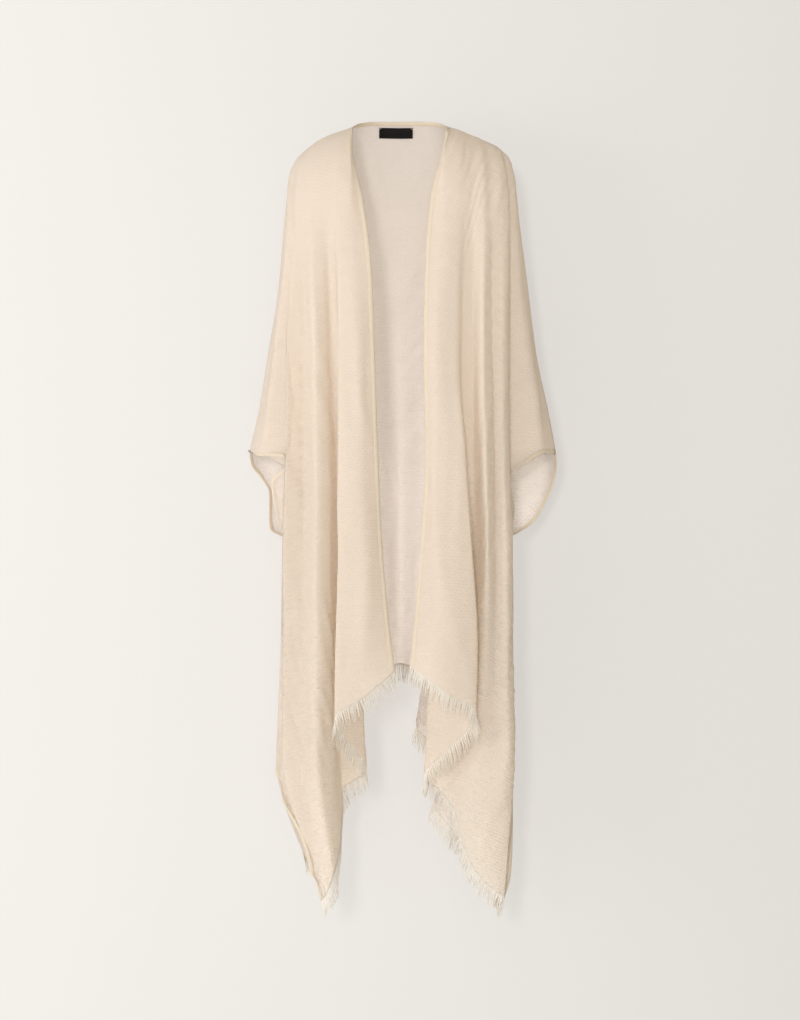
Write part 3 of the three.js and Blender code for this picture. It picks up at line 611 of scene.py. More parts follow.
def rolled_strip(name, path, inward, normals, size, swell=None):
    """A soft flat roll along an edge, and its row of stitches. Its oval section starts at the edge and goes
    inward. swell is a stretch where it is rolled over thicker: its middle, its reach and how much thicker."""
    width, height = size
    angles = np.linspace(0, 2 * math.pi, BAND_SIDES, endpoint=False)[:, None]
    run = distances(path)
    uneven = 1 + BAND_UNEVEN["by"] * bumps(run / BAND_UNEVEN["length"], run * 0, BAND_UNEVEN["seed"])
    if swell:
        uneven = uneven + swell["more"] * np.exp(-((run - swell["at"]) / swell["reach"]) ** 2)
    centres = path + inward * (width * BAND_INSET)
    oval = inward[:, None] * (np.cos(angles) * width / 2) + normals[:, None] * (np.sin(angles) * height / 2)
    rings = centres[:, None] + oval * uneven[:, None, None]
    starts = np.arange(len(rings)) * BAND_SIDES
    faces = [[a + s, a + (s + 1) % BAND_SIDES, b + (s + 1) % BAND_SIDES, b + s]
             for a, b in zip(starts.tolist(), starts[1:].tolist()) for s in range(BAND_SIDES)]
    faces += [[int(start) + s for s in range(BAND_SIDES)] for start in (starts[0], starts[-1])]
    uvs = [(along * MM, s / BAND_SIDES * 2 * width * MM) for along in run for s in range(BAND_SIDES)]
    strip = face_outwards(mesh_object(name, rings.reshape(-1, 3) * MM, faces, uvs))
    return strip, path + inward * (width * STITCH_SHARE)


def edge_frame(path, beside, normals):
    """The directions into the cloth and out of its face along an edge."""
    along = unit(np.gradient(path, axis=0))
    towards = beside - path
    inward = unit(towards - along * (towards * along).sum(axis=1, keepdims=True))
    out = unit(np.cross(along, inward))
    return inward, out * np.sign((out * normals).sum(axis=1, keepdims=True))


def side_strip(name, panel_name, column, low, high, size, swell=None):
    """A rolled hem along a panel's first or last column, between two levels."""
    panel = PANELS[panel_name]
    rows = np.flatnonzero((panel["levels"] >= low) & (panel["levels"] <= high))
    beside = panel["points"][rows, column + (BESIDE if column == 0 else -BESIDE)]
    path = panel["points"][rows, column]
    inward, out = edge_frame(path, beside, panel["normals"][rows, column])
    return rolled_strip(name, path, inward, out, size, swell)


def eased(values, run, reach):
    """Values along a run at even steps, each averaged over a reach on both sides, with the two ends kept."""
    steps = int(round(run[-1] / EASE_STEP))
    even = np.linspace(0, run[-1], steps + 1)
    values = np.stack([np.interp(even, run, values[:, k]) for k in range(values.shape[1])], axis=1)
    half = int(round(reach / EASE_STEP))
    before = 2 * values[0] - values[half:0:-1]
    after = 2 * values[-1] - values[-2:-half - 2:-1]
    padded = np.concatenate([before, values, after])
    window = np.hanning(2 * half + 3)[1:-1]
    window /= window.sum()
    return np.stack([np.convolve(padded[:, k], window, mode="valid") for k in range(values.shape[1])], axis=1)


def neck_strip(name, size):
    """The binding round the back neck, which turns with soft corners into the two front edges."""
    sides = {}
    for front in ("front_right", "front_left"):
        panel = PANELS[front]
        rows = np.flatnonzero(panel["levels"] <= NECK_TURN_LEVEL)
        path = panel["points"][rows, 0]
        sides[front] = (path, *edge_frame(path, panel["points"][rows, BESIDE], panel["normals"][rows, 0]))
    panel = PANELS["back"]
    columns = np.flatnonzero(np.abs(panel["folds"]) < NECK_POINT_FOLD - NECK_BINDING_STOP)
    path = panel["points"][0, columns]
    middle = (path, *edge_frame(path, panel["points"][BESIDE, columns], panel["normals"][0, columns]))
    path, inward, out = (np.concatenate([right[::-1], across, left]) for right, across, left
                         in zip(sides["front_right"], middle, sides["front_left"]))
    run = distances(path)
    path, inward, out = (eased(values, run, CORNER_ROUNDING) for values in (path, inward, out))
    inward = unit(inward)
    out = unit(out - inward * (out * inward).sum(axis=1, keepdims=True))
    return rolled_strip(name, path, inward, out, size)


# ------------------------------------------------ label

LABEL = {"height": 20, "drop": 11, "off": 1.6, "thickness": 0.5, "right": -0.92, "left": 0.55}
LABEL_STEPS = (16, 44)
LABEL_SURVEY = 60
LABEL_TACK = {"in": 3, "down": 3, "off": 0.7}  # steps of the label's grid to a corner's stitches


def make_label():
    """The woven label, blank, sewn inside the back neck, and the points of its face."""
    rows, columns = LABEL_STEPS
    survey = np.linspace(0, 1, LABEL_SURVEY)
    down = run_lengths(surface("back", survey, [(LABEL["right"] + LABEL["left"]) / 2]), 0)[:, 0]
    levels = np.interp(LABEL["drop"] + LABEL["height"] * np.linspace(0, 1, rows + 1), down, survey)
    points = surface("back", levels, np.linspace(LABEL["right"], LABEL["left"], columns + 1))
    uvs = np.stack([run_lengths(points, 1), -run_lengths(points, 0)], axis=2).reshape(-1, 2) * MM
    points = points - grid_normals(points, OUTWARD["back"]) * LABEL["off"]
    piece = mesh_object("woven_label", points.reshape(-1, 3) * MM, grid_faces(rows + 1, columns + 1), uvs)
    return thickened(piece, LABEL["thickness"]), points


def label_corners(face):
    """The slanting rows of stitches that hold the label's two upper corners."""
    face = face - grid_normals(face, OUTWARD["back"]) * LABEL_TACK["off"]
    reach, drop = LABEL_TACK["in"], LABEL_TACK["down"]
    return {"right": np.array([face[drop, 0], face[0, reach]]),
            "left": np.array([face[drop, -1], face[0, -1 - reach]])}


# ------------------------------------------------ node trees


def add(tree, kind, inputs=(), **settings):
    """A node with its settings, and its inputs set to values or joined to sockets."""
    made = tree.nodes.new(kind)
    for key, value in settings.items():
        setattr(made, key, value)
    for key, value in dict(inputs).items():
        if isinstance(value, bpy.types.NodeSocket):
            tree.links.new(value, made.inputs[key])
        else:
            made.inputs[key].default_value = value
    return made


def output(tree, kind, inputs=(), **settings):
    """The first output of a new node."""
    return add(tree, kind, inputs, **settings).outputs[0]


def maths(tree, operation, a, b=0.0):
    return output(tree, "ShaderNodeMath", {0: a, 1: b}, operation=operation)


def product(tree, *values):
    return reduce(lambda a, b: maths(tree, "MULTIPLY", a, b), values)


def total(tree, *values):
    return reduce(lambda a, b: maths(tree, "ADD", a, b), values)


def spread(tree, value, low, high, first=0.0, last=1.0):
    """A value that goes from first to last while the given one goes from low to high."""
    return output(tree, "ShaderNodeMapRange", {0: value, 1: low, 2: high, 3: first, 4: last})


def vectors(tree, operation, a, b=(0, 0, 0)):
    return output(tree, "ShaderNodeVectorMath", {0: a, 1: b}, operation=operation)


def scaled(tree, vector, by):
    return output(tree, "ShaderNodeVectorMath", {0: vector, "Scale": by}, operation="SCALE")


def split(tree, vector):
    return add(tree, "ShaderNodeSeparateXYZ", {0: vector}).outputs


def joined(tree, **parts):
    return output(tree, "ShaderNodeCombineXYZ", parts)


def noise(tree, place, detail, scale=1.0, **more):
    inputs = {"Vector": place, "Scale": scale, "Detail": detail, **more}
    return add(tree, "ShaderNodeTexNoise", inputs).outputs


# ------------------------------------------------ what repeats along a line


def line_tree(name, sizes):
    """A node group on a line of points, with its sizes as inputs."""
    tree = bpy.data.node_groups.new(name, "GeometryNodeTree")
    tree.interface.new_socket("Line", in_out="INPUT", socket_type="NodeSocketGeometry")
    for key, value in sizes.items():
        kind = "NodeSocketInt" if isinstance(value, int) else "NodeSocketFloat"
        tree.interface.new_socket(key, in_out="INPUT", socket_type=kind).default_value = value
    tree.interface.new_socket("Made", in_out="OUTPUT", socket_type="NodeSocketGeometry")
    return tree, add(tree, "NodeGroupInput").outputs


def places_along(tree, line, spacing):
    curve = output(tree, "GeometryNodeMeshToCurve", {0: line})
    return add(tree, "GeometryNodeCurveToPoints", {"Curve": curve, "Length": spacing}, mode="LENGTH").outputs


def finish_tree(tree, made, material):
    """Ends a node group: its pieces are smooth, made real and given their material."""
    made = output(tree, "GeometryNodeSetShadeSmooth", {"Geometry": made, "Shade Smooth": True})
    made = output(tree, "GeometryNodeRealizeInstances", {0: made})
    made = output(tree, "GeometryNodeSetMaterial", {"Geometry": made, "Material": material})
    add(tree, "NodeGroupOutput", {0: made})


def line_of_points(name, points, ways):
    """A line of joined points in metres, with vectors and the distance along it as attributes."""
    mesh = bpy.data.meshes.new(name)
    mesh.from_pydata([tuple(p) for p in points], [(i, i + 1) for i in range(len(points) - 1)], [])
    for key, values in ways.items():
        mesh.attributes.new(key, "FLOAT_VECTOR", "POINT").data.foreach_set("vector", values.ravel())
    mesh.attributes.new("along", "FLOAT", "POINT").data.foreach_set("value", distances(points))
    return add_object(name, mesh)


def made_along(line, tree, sizes):
    """What a node group makes along a line, as a plain mesh. Sizes are set by their sockets' identifiers."""
    nodes = line.modifiers.new("pieces", "NODES")
    nodes.node_group = tree
    for item in tree.interface.items_tree:
        if item.item_type == "SOCKET" and item.in_out == "INPUT" and item.name in sizes:
            nodes[item.identifier] = sizes[item.name]
    return as_plain_mesh(line)


# ------------------------------------------------ fringe

THREAD_SIZES = {"Spacing": 0.00045, "Length": 0.034, "Thickness": 0.0007, "Clump": 0.0048, "Wave": 0.0012,
                "Spread": 0.0035, "Seed": 4}
THREAD_POINTS = 8
THREAD_SIDES = 3
DROOP = 0.3  # share of a thread's reach that goes straight down by its tip
STRAY = 0.3  # how far into the next clump a thread can belong, in clumps
CLUMP_MIDDLE = (0.3, 0.7)  # where in its width a clump gathers
THREAD_LENGTHS = (0.8, 1.03)  # shares of the length that a thread has,
CLUMP_LENGTHS = (0.88, 1.08)  # and its clump
GATHER = 0.85  # how near to the clump's middle a thread gets by its tip
WAVES = 2.5  # along a thread
TAPER = 0.55  # share of the thickness that is lost by the tip
FRINGE_SQUARE = 0.65  # how far the threads turn from the cloth's run to square off the hem
FRINGE_FALL = 0.3  # and then towards straight down
THREADS_START = 2.0  # inside the hem
HEM_REACH = 3  # points on each side that give the hem's own direction


def thread_tree(material):
    """Loose threads along a hem, gathered in clumps. The line has the way the threads run, the way the hem
    runs and the distance along it as attributes."""
    tree, given = line_tree("fringe_threads", THREAD_SIZES)
    roots = places_along(tree, given["Line"], given["Spacing"])
    place = output(tree, "GeometryNodeInputPosition")
    number = output(tree, "GeometryNodeInputIndex")

    def chance(low, high, offset, of=number):
        seed = total(tree, given["Seed"], offset)
        return add(tree, "FunctionNodeRandomValue", {2: low, 3: high, "ID": of, "Seed": seed},
                   data_type="FLOAT").outputs[1]

    def named(name, kind="FLOAT"):
        return output(tree, "GeometryNodeInputNamedAttribute", {"Name": name}, data_type=kind)

    strayed = total(tree, named("along"), product(tree, given["Clump"], chance(-STRAY, STRAY, 5)))
    clump = maths(tree, "FLOOR", maths(tree, "DIVIDE", strayed, given["Clump"]))
    middle = product(tree, given["Clump"], total(tree, clump, chance(*CLUMP_MIDDLE, 6, clump)))
    kept = {
        "root": place,
        "reach": product(tree, given["Length"], chance(*THREAD_LENGTHS, 1), chance(*CLUMP_LENGTHS, 7, clump)),
        "own": chance(0.0, 100.0, 2),
        "pull": maths(tree, "SUBTRACT", middle, named("along")),
        "lean": chance(-1.0, 1.0, 8, clump),
        "lift": chance(-1.0, 1.0, 9, clump),
    }
    points = roots[0]
    for name, value in kept.items():
        kind = "FLOAT_VECTOR" if name == "root" else "FLOAT"
        inputs = {"Geometry": points, "Name": name, "Value": value}
        points = output(tree, "GeometryNodeStoreNamedAttribute", inputs, data_type=kind, domain="POINT")

    strand = output(tree, "GeometryNodeCurvePrimitiveLine", {"Start": (0, 0, 0), "End": (0, 0, -1)})
    strand = output(tree, "GeometryNodeResampleCurve", {"Curve": strand, "Count": THREAD_POINTS})
    strands = output(tree, "GeometryNodeInstanceOnPoints", {"Points": points, "Instance": strand})
    strands = output(tree, "GeometryNodeRealizeInstances", {0: strands})

    share = output(tree, "GeometryNodeSplineParameter")
    rooted, squared = maths(tree, "SQRT", share), product(tree, share, share)
    droop, spread_out = product(tree, squared, DROOP), product(tree, given["Spread"], squared)
    reach = named("reach")
    onward = product(tree, reach, maths(tree, "SUBTRACT", share, droop))
    gathered = product(tree, named("pull"), rooted, GATHER)
    sideways = total(tree, gathered, product(tree, spread_out, named("lean")))
    path = joined(tree, X=named("own"), Y=product(tree, share, WAVES))
    swing = vectors(tree, "SUBTRACT", noise(tree, path, 1.0)[1], (0.5, 0.5, 0.5))
    moves = [
        named("root", "FLOAT_VECTOR"),
        scaled(tree, named("run", "FLOAT_VECTOR"), onward),
        joined(tree, Z=product(tree, reach, droop, -1.0)),
        scaled(tree, named("side", "FLOAT_VECTOR"), sideways),
        joined(tree, Y=product(tree, spread_out, named("lift"))),
        scaled(tree, swing, product(tree, rooted, given["Wave"], 2.0)),
    ]
    end = reduce(lambda a, b: vectors(tree, "ADD", a, b), moves)
    strands = output(tree, "GeometryNodeSetPosition", {"Geometry": strands, "Position": end})
    thickness = product(tree, given["Thickness"], maths(tree, "SUBTRACT", 1.0, product(tree, squared, TAPER)))
    section = {"Resolution": THREAD_SIDES, "Radius": 0.5}
    section = output(tree, "GeometryNodeCurvePrimitiveCircle", section)
    tube = {"Curve": strands, "Profile Curve": section, "Fill Caps": True, "Scale": thickness}
    finish_tree(tree, output(tree, "GeometryNodeCurveToMesh", tube), material)
    return tree


def make_fringe(name, panel_name, tree, seed):
    panel = PANELS[panel_name]
    hem = panel["points"][-1]
    padded = np.pad(hem, ((HEM_REACH, HEM_REACH), (0, 0)), mode="edge")
    along = unit(padded[2 * HEM_REACH:] - padded[:-2 * HEM_REACH])
    runs = unit(hem - panel["points"][-1 - BESIDE])
    square = unit(runs - along * (runs * along).sum(axis=1, keepdims=True))
    ways = unit(mix(runs, square, FRINGE_SQUARE) + np.array([0, 0, -FRINGE_FALL]))
    line = line_of_points(name, (hem - runs * THREADS_START) * MM, {"run": ways, "side": along})
    return made_along(line, tree, {"Seed": seed})


# ------------------------------------------------ stitches

STITCH_SIZES = {"Pitch": 0.0032, "Length": 0.0023, "Thickness": 0.00045}
LABEL_STITCH_SIZES = {"Pitch": 0.0022, "Length": 0.0028, "Thickness": 0.0009}
STITCH_SEGMENTS = 6
STITCH_RINGS = 4


def stitch_tree(material):
    """A row of small stitches along a line."""
    tree, given = line_tree("stitch_row", STITCH_SIZES)
    places = places_along(tree, given["Line"], given["Pitch"])
    bead = {"Segments": STITCH_SEGMENTS, "Rings": STITCH_RINGS, "Radius": 0.5}
    bead = output(tree, "GeometryNodeMeshUVSphere", bead)
    size = joined(tree, X=given["Thickness"], Y=given["Thickness"], Z=given["Length"])
    row = {"Points": places[0], "Instance": bead, "Rotation": places["Rotation"], "Scale": size}
    finish_tree(tree, output(tree, "GeometryNodeInstanceOnPoints", row), material)
    return tree


def make_stitches(name, row, tree, sizes):
    """A row of stitches through points in millimetres."""
    return made_along(line_of_points(name, row * MM, {}), tree, sizes)


# ------------------------------------------------ materials

WEAVE_PITCH = 0.0009
RIB_PITCH = 0.0054
RIB_DASH = 0.011
RIB_BREAKS = (0.35, 0.62)  # the noise at which a rib is broken off, and at which it is whole
PUCKER_SIZE = (0.0092, 0.0084)  # sizes across and down
PUCKER_WANDER_SIZE = (0.03, 0.03)
RIB_WANDER = 9.0  # how far their rows stray, as an angle
PUCKER_WANDER = 7.0
WRINKLE_SIZE = (0.008, 0.03)
TONE_SIZE = (0.09, 0.16)
WEAVE_BUMP = (0.35, 0.00016)  # strength and height
CRINKLE_BUMP = (0.75, 0.0013)
RELIEF = {"puckers": 0.34, "wrinkles": 0.3, "ribs": 0.8}  # their shares in the height of the cloth
# How strong the ribs are: less near the shoulder and near a front edge than low down and out to the side.
RIBS_DOWN = (-0.15, -0.95, 0.3, 1.05)
RIBS_ACROSS = (0.08, 0.36, 0.65, 1.1)
CLOTHS = {  # screen colours of hollows, painted darker as shade, of heights and of light that comes through, its share, strength of crinkle
    "crinkled_gauze": ((246, 236, 227), (251, 246, 241), (254, 248, 239), 0.58, 1.0),
    # The back's copy of the same gauze is painted a little darker and greyer than the fronts' as shade for
    # the inside of the back, with whiter light through it.
    "crinkled_gauze_back_painted_shade": ((240, 232, 227), (247, 243, 241), (253, 249, 246), 0.6, 1.0),
    "hem_gauze": ((245, 232, 214), (251, 242, 227), (254, 247, 232), 0.36, 0.5),
}


def material_tree(name):
    material = bpy.data.materials.new(name)
    material.use_nodes = True
    material.node_tree.nodes.clear()
    return material, material.node_tree


def surface_output(tree, face, through=None, share_through=0.0):
    """Ends a material with its face, and with light that comes through it where there is any."""
    shader = output(tree, "ShaderNodeBsdfPrincipled", face)
    if through:
        behind = output(tree, "ShaderNodeBsdfTranslucent", through)
        shader = output(tree, "ShaderNodeMixShader", {0: share_through, 1: shader, 2: behind})
    add(tree, "ShaderNodeOutputMaterial", {0: shader})


def object_place(tree):
    return add(tree, "ShaderNodeTexCoord").outputs["Object"]


def cloth_place(tree, size):
    """The place on the cloth, counted in bumps of this size (across, down) in metres."""
    place = output(tree, "ShaderNodeUVMap", uv_map="cloth")
    return vectors(tree, "MULTIPLY", place, (1 / size[0], 1 / size[1], 1))


def cloth_noise(tree, size, detail=2.0):
    return noise(tree, cloth_place(tree, size), detail, Roughness=0.55)[0]


def weave_field(tree, pitch):
    """Plain weave of threads a pitch apart: threads pass over and under each other."""
    parts = split(tree, cloth_place(tree, (pitch / math.pi, pitch / math.pi)))
    return total(tree, *(maths(tree, "ABSOLUTE", maths(tree, "SINE", part)) for part in (parts[0], parts[1])))


def wave(tree, value, wander):
    return maths(tree, "SINE", total(tree, value, wander))


def halved(tree, value):
    """From -1..1 to 0..1."""
    return total(tree, product(tree, value, 0.5), 0.5)


def broken_ribs(tree, pitch, dash):
    """Rows of weft ribs a pitch apart that wander a little and break off in dashes."""
    down = split(tree, cloth_place(tree, (1.0, pitch / (2 * math.pi))))[1]
    wander = product(tree, cloth_noise(tree, (4 * dash, 8 * pitch), 1.0), RIB_WANDER)
    rows = halved(tree, wave(tree, down, wander))
    return product(tree, rows, spread(tree, cloth_noise(tree, (dash, pitch * 0.8), 1.0), *RIB_BREAKS))


def puckers(tree, size):
    """Small puckers in even rows, which wander a little. size is their repeat across and down."""
    across, down, _ = split(tree, cloth_place(tree, [repeat / (2 * math.pi) for repeat in size]))
    wander = product(tree, cloth_noise(tree, PUCKER_WANDER_SIZE, 1.0), PUCKER_WANDER)
    return halved(tree, product(tree, wave(tree, across, wander), wave(tree, down, wander)))


def ramp(tree, factor, stops):
    made = add(tree, "ShaderNodeValToRGB", {0: factor})
    elements = made.color_ramp.elements
    for element, (at, colour) in zip(elements, stops):
        element.position, element.color = at, (*colour, 1)
    return made.outputs[0]


def bump(tree, height, strength, distance, **below):
    return output(tree, "ShaderNodeBump", {"Height": height, "Strength": strength, "Distance": distance,
                                           **below})


def srgb(red, green, blue):
    """A linear colour from 8-bit screen values."""
    def linear(value):
        value /= 255
        return value / 12.92 if value <= 0.04045 else ((value + 0.055) / 1.055) ** 2.4
    return tuple(linear(value) for value in (red, green, blue))


def cloth_material(name, hollow_shade, light, through, share_through, crinkle):
    """Crinkled open-weave cotton: matt, soft, a little see-through to light, with painted shade in the
    hollows of its crinkle.
    """
    material, tree = material_tree(name)
    across, down, _ = split(tree, cloth_place(tree, (1.0, 1.0)))
    ribs = product(tree, broken_ribs(tree, RIB_PITCH, RIB_DASH), spread(tree, across, *RIBS_ACROSS),
                   spread(tree, down, *RIBS_DOWN))
    heights = total(tree, product(tree, puckers(tree, PUCKER_SIZE), RELIEF["puckers"]),
                    product(tree, cloth_noise(tree, WRINKLE_SIZE), RELIEF["wrinkles"]),
                    product(tree, ribs, RELIEF["ribs"]))
    normal = bump(tree, weave_field(tree, WEAVE_PITCH), *WEAVE_BUMP)
    strength, height = CRINKLE_BUMP
    normal = bump(tree, heights, strength * crinkle, height, Normal=normal)
    # Painted shade: the base colour is darker where the crinkle is low, mixed with tone that differs at
    # random.
    shade = total(tree, product(tree, heights, 0.5), product(tree, cloth_noise(tree, TONE_SIZE), 0.3))
    surface_output(
        tree,
        {"Base Color": ramp(tree, shade, [(0.2, srgb(*hollow_shade)), (0.66, srgb(*light))]), "Roughness": 0.95,
         "Specular IOR Level": 0.12, "Sheen Weight": 0.12, "Sheen Roughness": 0.6,
         "Sheen Tint": (1.0, 0.97, 0.93, 1), "Normal": normal},
        {"Color": (*srgb(*through), 1), "Normal": normal}, share_through)
    return material


def thread_material():
    """Loose cream cotton threads."""
    material, tree = material_tree("fringe_cotton")
    tone = noise(tree, object_place(tree), 2.0, 900.0)[0]
    surface_output(
        tree,
        {"Base Color": ramp(tree, tone, [(0.3, srgb(250, 241, 229)), (0.7, srgb(255, 249, 240))]),
         "Roughness": 0.9, "Specular IOR Level": 0.2, "Sheen Weight": 0.3, "Sheen Roughness": 0.5,
         "Normal": bump(tree, tone, 0.3, 0.0001)},
        {"Color": (*srgb(253, 250, 246), 1)}, 0.12)
    return material


def sewing_thread_material():
    """Smooth off-white sewing thread."""
    material, tree = material_tree("sewing_thread")
    twist = noise(tree, object_place(tree), 1.0, 2500.0)[0]
    surface_output(
        tree,
        {"Base Color": ramp(tree, twist, [(0.3, srgb(236, 222, 198)), (0.7, srgb(250, 240, 222))]),
         "Roughness": 0.7, "Specular IOR Level": 0.3, "Normal": bump(tree, twist, 0.3, 0.0001)})
    return material


def label_material():
    """Black satin-woven tape."""
    material, tree = material_tree("black_label_tape")
    weave = weave_field(tree, 0.0006)
    fluff = cloth_noise(tree, (0.004, 0.004), 3.0)
    shade = total(tree, product(tree, weave, 0.25), product(tree, fluff, 0.5))
    surface_output(
        tree,
        {"Base Color": ramp(tree, shade, [(0.3, (0.002, 0.002, 0.002)), (0.8, (0.007, 0.0065, 0.0065))]),
         "Roughness": 0.75, "Specular IOR Level": 0.2, "Normal": bump(tree, weave, 0.5, 0.0001)})
    return material


# ------------------------------------------------ studio

FLOOR_HEIGHT = -1.80
WALL_DISTANCE = 0.165
COVE_RADIUS = 0.12
STAGE_HALF_WIDTH = 4.0
STAGE_FRONT = -4.0
WALL_HEIGHT = 3.2
COVE_STEPS = 16
WALL_GLOW = 0.51  # light of its own, from the studio's bounced light
WALL_GLOW_COLOUR = (1.0, 0.975, 0.94)
WALL_PAINT = 0.32  # how much of the light on it the paint gives back
WALL_PAINT_COLOURS = [(0.2, (1.0, 0.975, 0.94)), (0.8, (1.02, 1.0, 0.965))]
WALL_LIGHT = (-0.74, 0.74, 1.02, 0.89)  # two places across the wall, and its painted light at each, lighter at the left as if lit from there
AIM = (0, 0, -0.7)  # the middle of the garment
LIGHTS = [  # name, place, width, watts, colour
    ("key", (-1.3, -10.0, 0.5), 1.0, 280, (1.0, 0.985, 0.965)),
    ("front", (0.0, -10.0, -0.4), 3.6, 115, (1.0, 0.99, 0.975)),
    ("side", (-3.2, -2.4, -0.5), 1.8, 28, (1.0, 0.985, 0.96)),
    ("low", (0.0, 0.7, -1.05), 0.35, 2.6, (1.0, 0.985, 0.965)),
]
SKY = (-1.0, 1.0, 0.68, 0.66)  # how far back two directions point, and the light that comes from each
SKY_FALL = (0.42, 0.0, 0.4)  # how much of that light is lost to the right and above, and gained opposite
SKY_COLOURS = [(0.0, (1.0, 0.99, 0.975)), (1.0, (1.0, 0.945, 0.79))]  # from the left and from the right
PLAIN_BACKGROUND = 0.86


def stage_material():
    """Matt pale paint towards the garment, painted lighter at the left and darker to the right, with a
    painted glow. It hides nothing from behind and keeps no light away.
    """
    material, tree = material_tree("pale_backdrop")
    place = object_place(tree)
    # Painted light: the paint and its glow both get lighter towards the left of the wall.
    lit = spread(tree, split(tree, place)[0], *WALL_LIGHT)
    paints = [(at, [WALL_PAINT * part for part in colour]) for at, colour in WALL_PAINT_COLOURS]
    colour = ramp(tree, noise(tree, place, 2.0, 1.2)[0], paints)
    paint = output(tree, "ShaderNodeBsdfDiffuse", {"Color": scaled(tree, colour, lit)})
    glow = output(tree, "ShaderNodeEmission", {"Color": (*WALL_GLOW_COLOUR, 1),
                                               "Strength": product(tree, lit, WALL_GLOW)})
    paint = output(tree, "ShaderNodeAddShader", {0: paint, 1: glow})
    clear = output(tree, "ShaderNodeBsdfTransparent")
    from_behind = add(tree, "ShaderNodeNewGeometry").outputs["Backfacing"]
    unseen = maths(tree, "SUBTRACT", 1.0, add(tree, "ShaderNodeLightPath").outputs["Is Camera Ray"])
    share_clear = maths(tree, "MAXIMUM", from_behind, unseen)
    mixed = output(tree, "ShaderNodeMixShader", {0: share_clear, 1: paint, 2: clear})
    add(tree, "ShaderNodeOutputMaterial", {0: mixed})
    return material


def make_stage():
    """A pale floor that curves up into a wall behind the garment."""
    centre_y, centre_z = WALL_DISTANCE - COVE_RADIUS, FLOOR_HEIGHT + COVE_RADIUS
    turns = np.linspace(0, math.pi / 2, COVE_STEPS + 1)
    profile = [(STAGE_FRONT, FLOOR_HEIGHT)]
    profile += [(centre_y + COVE_RADIUS * math.sin(t), centre_z - COVE_RADIUS * math.cos(t)) for t in turns]
    profile.append((WALL_DISTANCE, FLOOR_HEIGHT + WALL_HEIGHT))
    points = [(side * STAGE_HALF_WIDTH, y, z) for y, z in profile for side in (-1, 1)]
    faces = [[2 * i, 2 * i + 1, 2 * i + 3, 2 * i + 2] for i in range(len(profile) - 1)]
    backdrop = mesh_object("backdrop", points, faces)
    backdrop.data.materials.append(stage_material())


def make_sky():
    """Light from all round, stronger from the left and from below and warmer from the right, seen as an even
    pale background."""
    world = bpy.data.worlds.new("studio")
    world.use_nodes = True
    tree = world.node_tree
    tree.nodes.clear()
    way = add(tree, "ShaderNodeTexCoord").outputs["Generated"]
    rightwards, backwards, _ = split(tree, way)
    fall = add(tree, "ShaderNodeVectorMath", {0: way, 1: SKY_FALL}, operation="DOT_PRODUCT").outputs["Value"]
    strength = product(tree, spread(tree, backwards, *SKY), maths(tree, "SUBTRACT", 1.0, fall))
    seen = add(tree, "ShaderNodeLightPath").outputs["Is Camera Ray"]
    shown = total(tree, product(tree, strength, maths(tree, "SUBTRACT", 1.0, seen)),
                  product(tree, seen, PLAIN_BACKGROUND))
    colour = ramp(tree, halved(tree, rightwards), SKY_COLOURS)
    sky = add(tree, "ShaderNodeBackground", {"Color": colour, "Strength": shown})
    add(tree, "ShaderNodeOutputWorld", {0: sky.outputs[0]})
    bpy.context.scene.world = world


def make_lights():
    for name, place, width, watts, colour in LIGHTS:
        data = bpy.data.lights.new(name, "AREA")
        data.shape, data.size, data.energy, data.color = "DISK", width, watts, colour
        light = add_object(name, data)
        light.location = place
        light.rotation_euler = (Vector(AIM) - Vector(place)).to_track_quat("-Z", "Y").to_euler()
        light.visible_camera = False
    make_sky()
    bpy.context.scene.view_settings.view_transform = "Standard"


# ------------------------------------------------ the garment

HEM_ENDS = {"cuff": ("cuff", "joint"), "slit": ("slit", "hem")}  # levels
NECK_ROLL = {"at": 22, "reach": 20, "more": 0.35}  # where the left front edge is rolled over thicker
HANG_OFFSET = 13.7  # between the panels' patterns of bumps
FIRST_SEED, SEED_STEP = 11, 7  # of the fringes


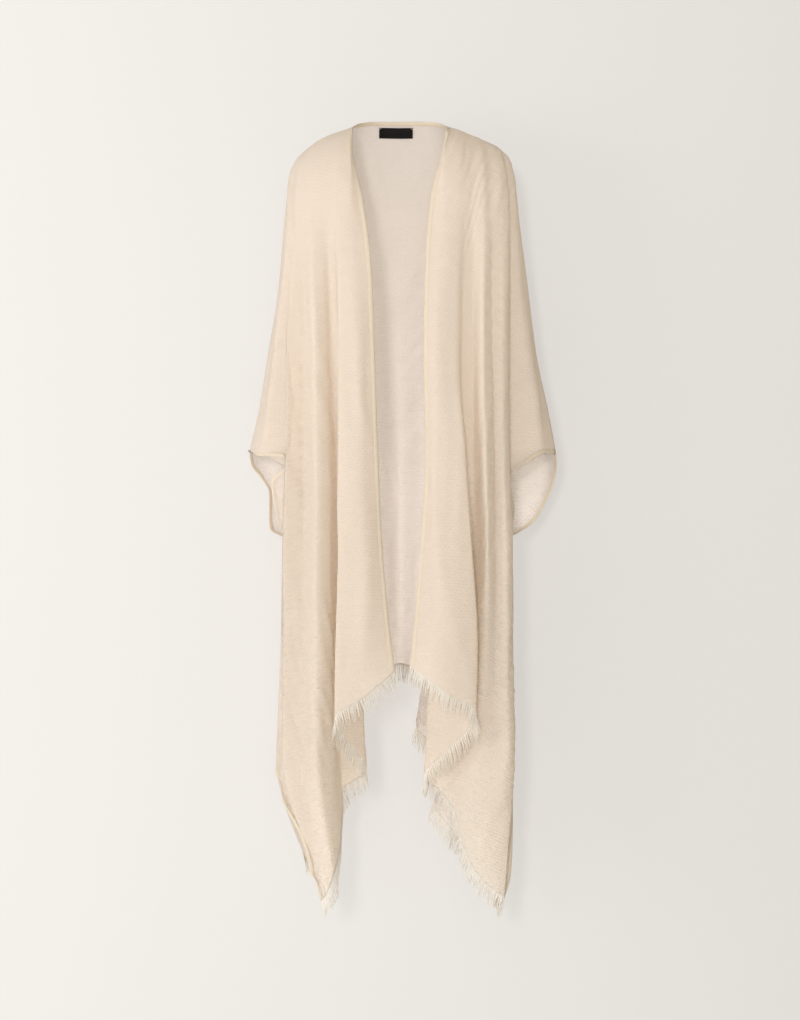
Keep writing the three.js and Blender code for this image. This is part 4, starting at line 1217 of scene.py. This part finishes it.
def make_kaftan():
    gauze, shaded_back_gauze, hem_gauze = (cloth_material(name, *row) for name, row in CLOTHS.items())
    cotton, sewing_thread = thread_material(), sewing_thread_material()
    stitches, threads = stitch_tree(sewing_thread), thread_tree(cotton)
    for number, name in enumerate(PANEL_LINES):
        survey_panel(name, HANG_OFFSET * number)

    panels = {}
    for name in PANEL_LINES:
        # The back gets the copy of the gauze that is painted darker and greyer as shade.
        panels[name] = keep(make_panel(name), shaded_back_gauze if name == "back" else gauze)
        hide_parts(name)

    trims = {name: [] for name in panels}

    def trim(panel_name, piece, material, node=None):
        trims[panel_name].append(keep(piece, material))
        if node:
            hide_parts(node)

    def sewn(panel_name, name, row, sizes=STITCH_SIZES):
        trim(panel_name, make_stitches(name, row, stitches, sizes), sewing_thread)

    def hemmed(panel_name, name, strip_and_row, node=None):
        """A band or a hem with its row of stitches."""
        strip, row = strip_and_row
        trim(panel_name, strip, hem_gauze, node)
        sewn(panel_name, name + "_stitches", row)

    for side in ("right", "left"):
        front, band = "front_" + side, "front_band_" + side
        swell = NECK_ROLL if side == "left" else None
        hemmed(front, band,
               side_strip(band + "_roll", front, 0, NECK_TURN_LEVEL, LEVEL["hem"], BAND_SIZE, swell), band)
        for part, (low, high) in HEM_ENDS.items():
            for panel_name, column in ((front, -1), ("back", 0 if side == "right" else -1)):
                name = f"{part}_hem_{panel_name}" + ("_" + side if panel_name == "back" else "")
                hem = side_strip(name, panel_name, column, LEVEL[low], LEVEL[high], HEM_SIZE)
                hemmed(panel_name, name, hem)
    hemmed("back", "neck_band", neck_strip("neck_band_roll", BAND_SIZE), "neck_band")

    for number, panel_name in enumerate(PANEL_LINES):
        node = "fringe_" + panel_name
        fringe = make_fringe(node + "_threads", panel_name, threads, FIRST_SEED + number * SEED_STEP)
        trim(panel_name, fringe, cotton, node)

    label, face = make_label()
    trim("back", label, label_material(), "label")
    for side, row in label_corners(face).items():
        sewn("back", f"label_stitches_{side}", row, LABEL_STITCH_SIZES)


make_kaftan()
make_stage()
make_lights()
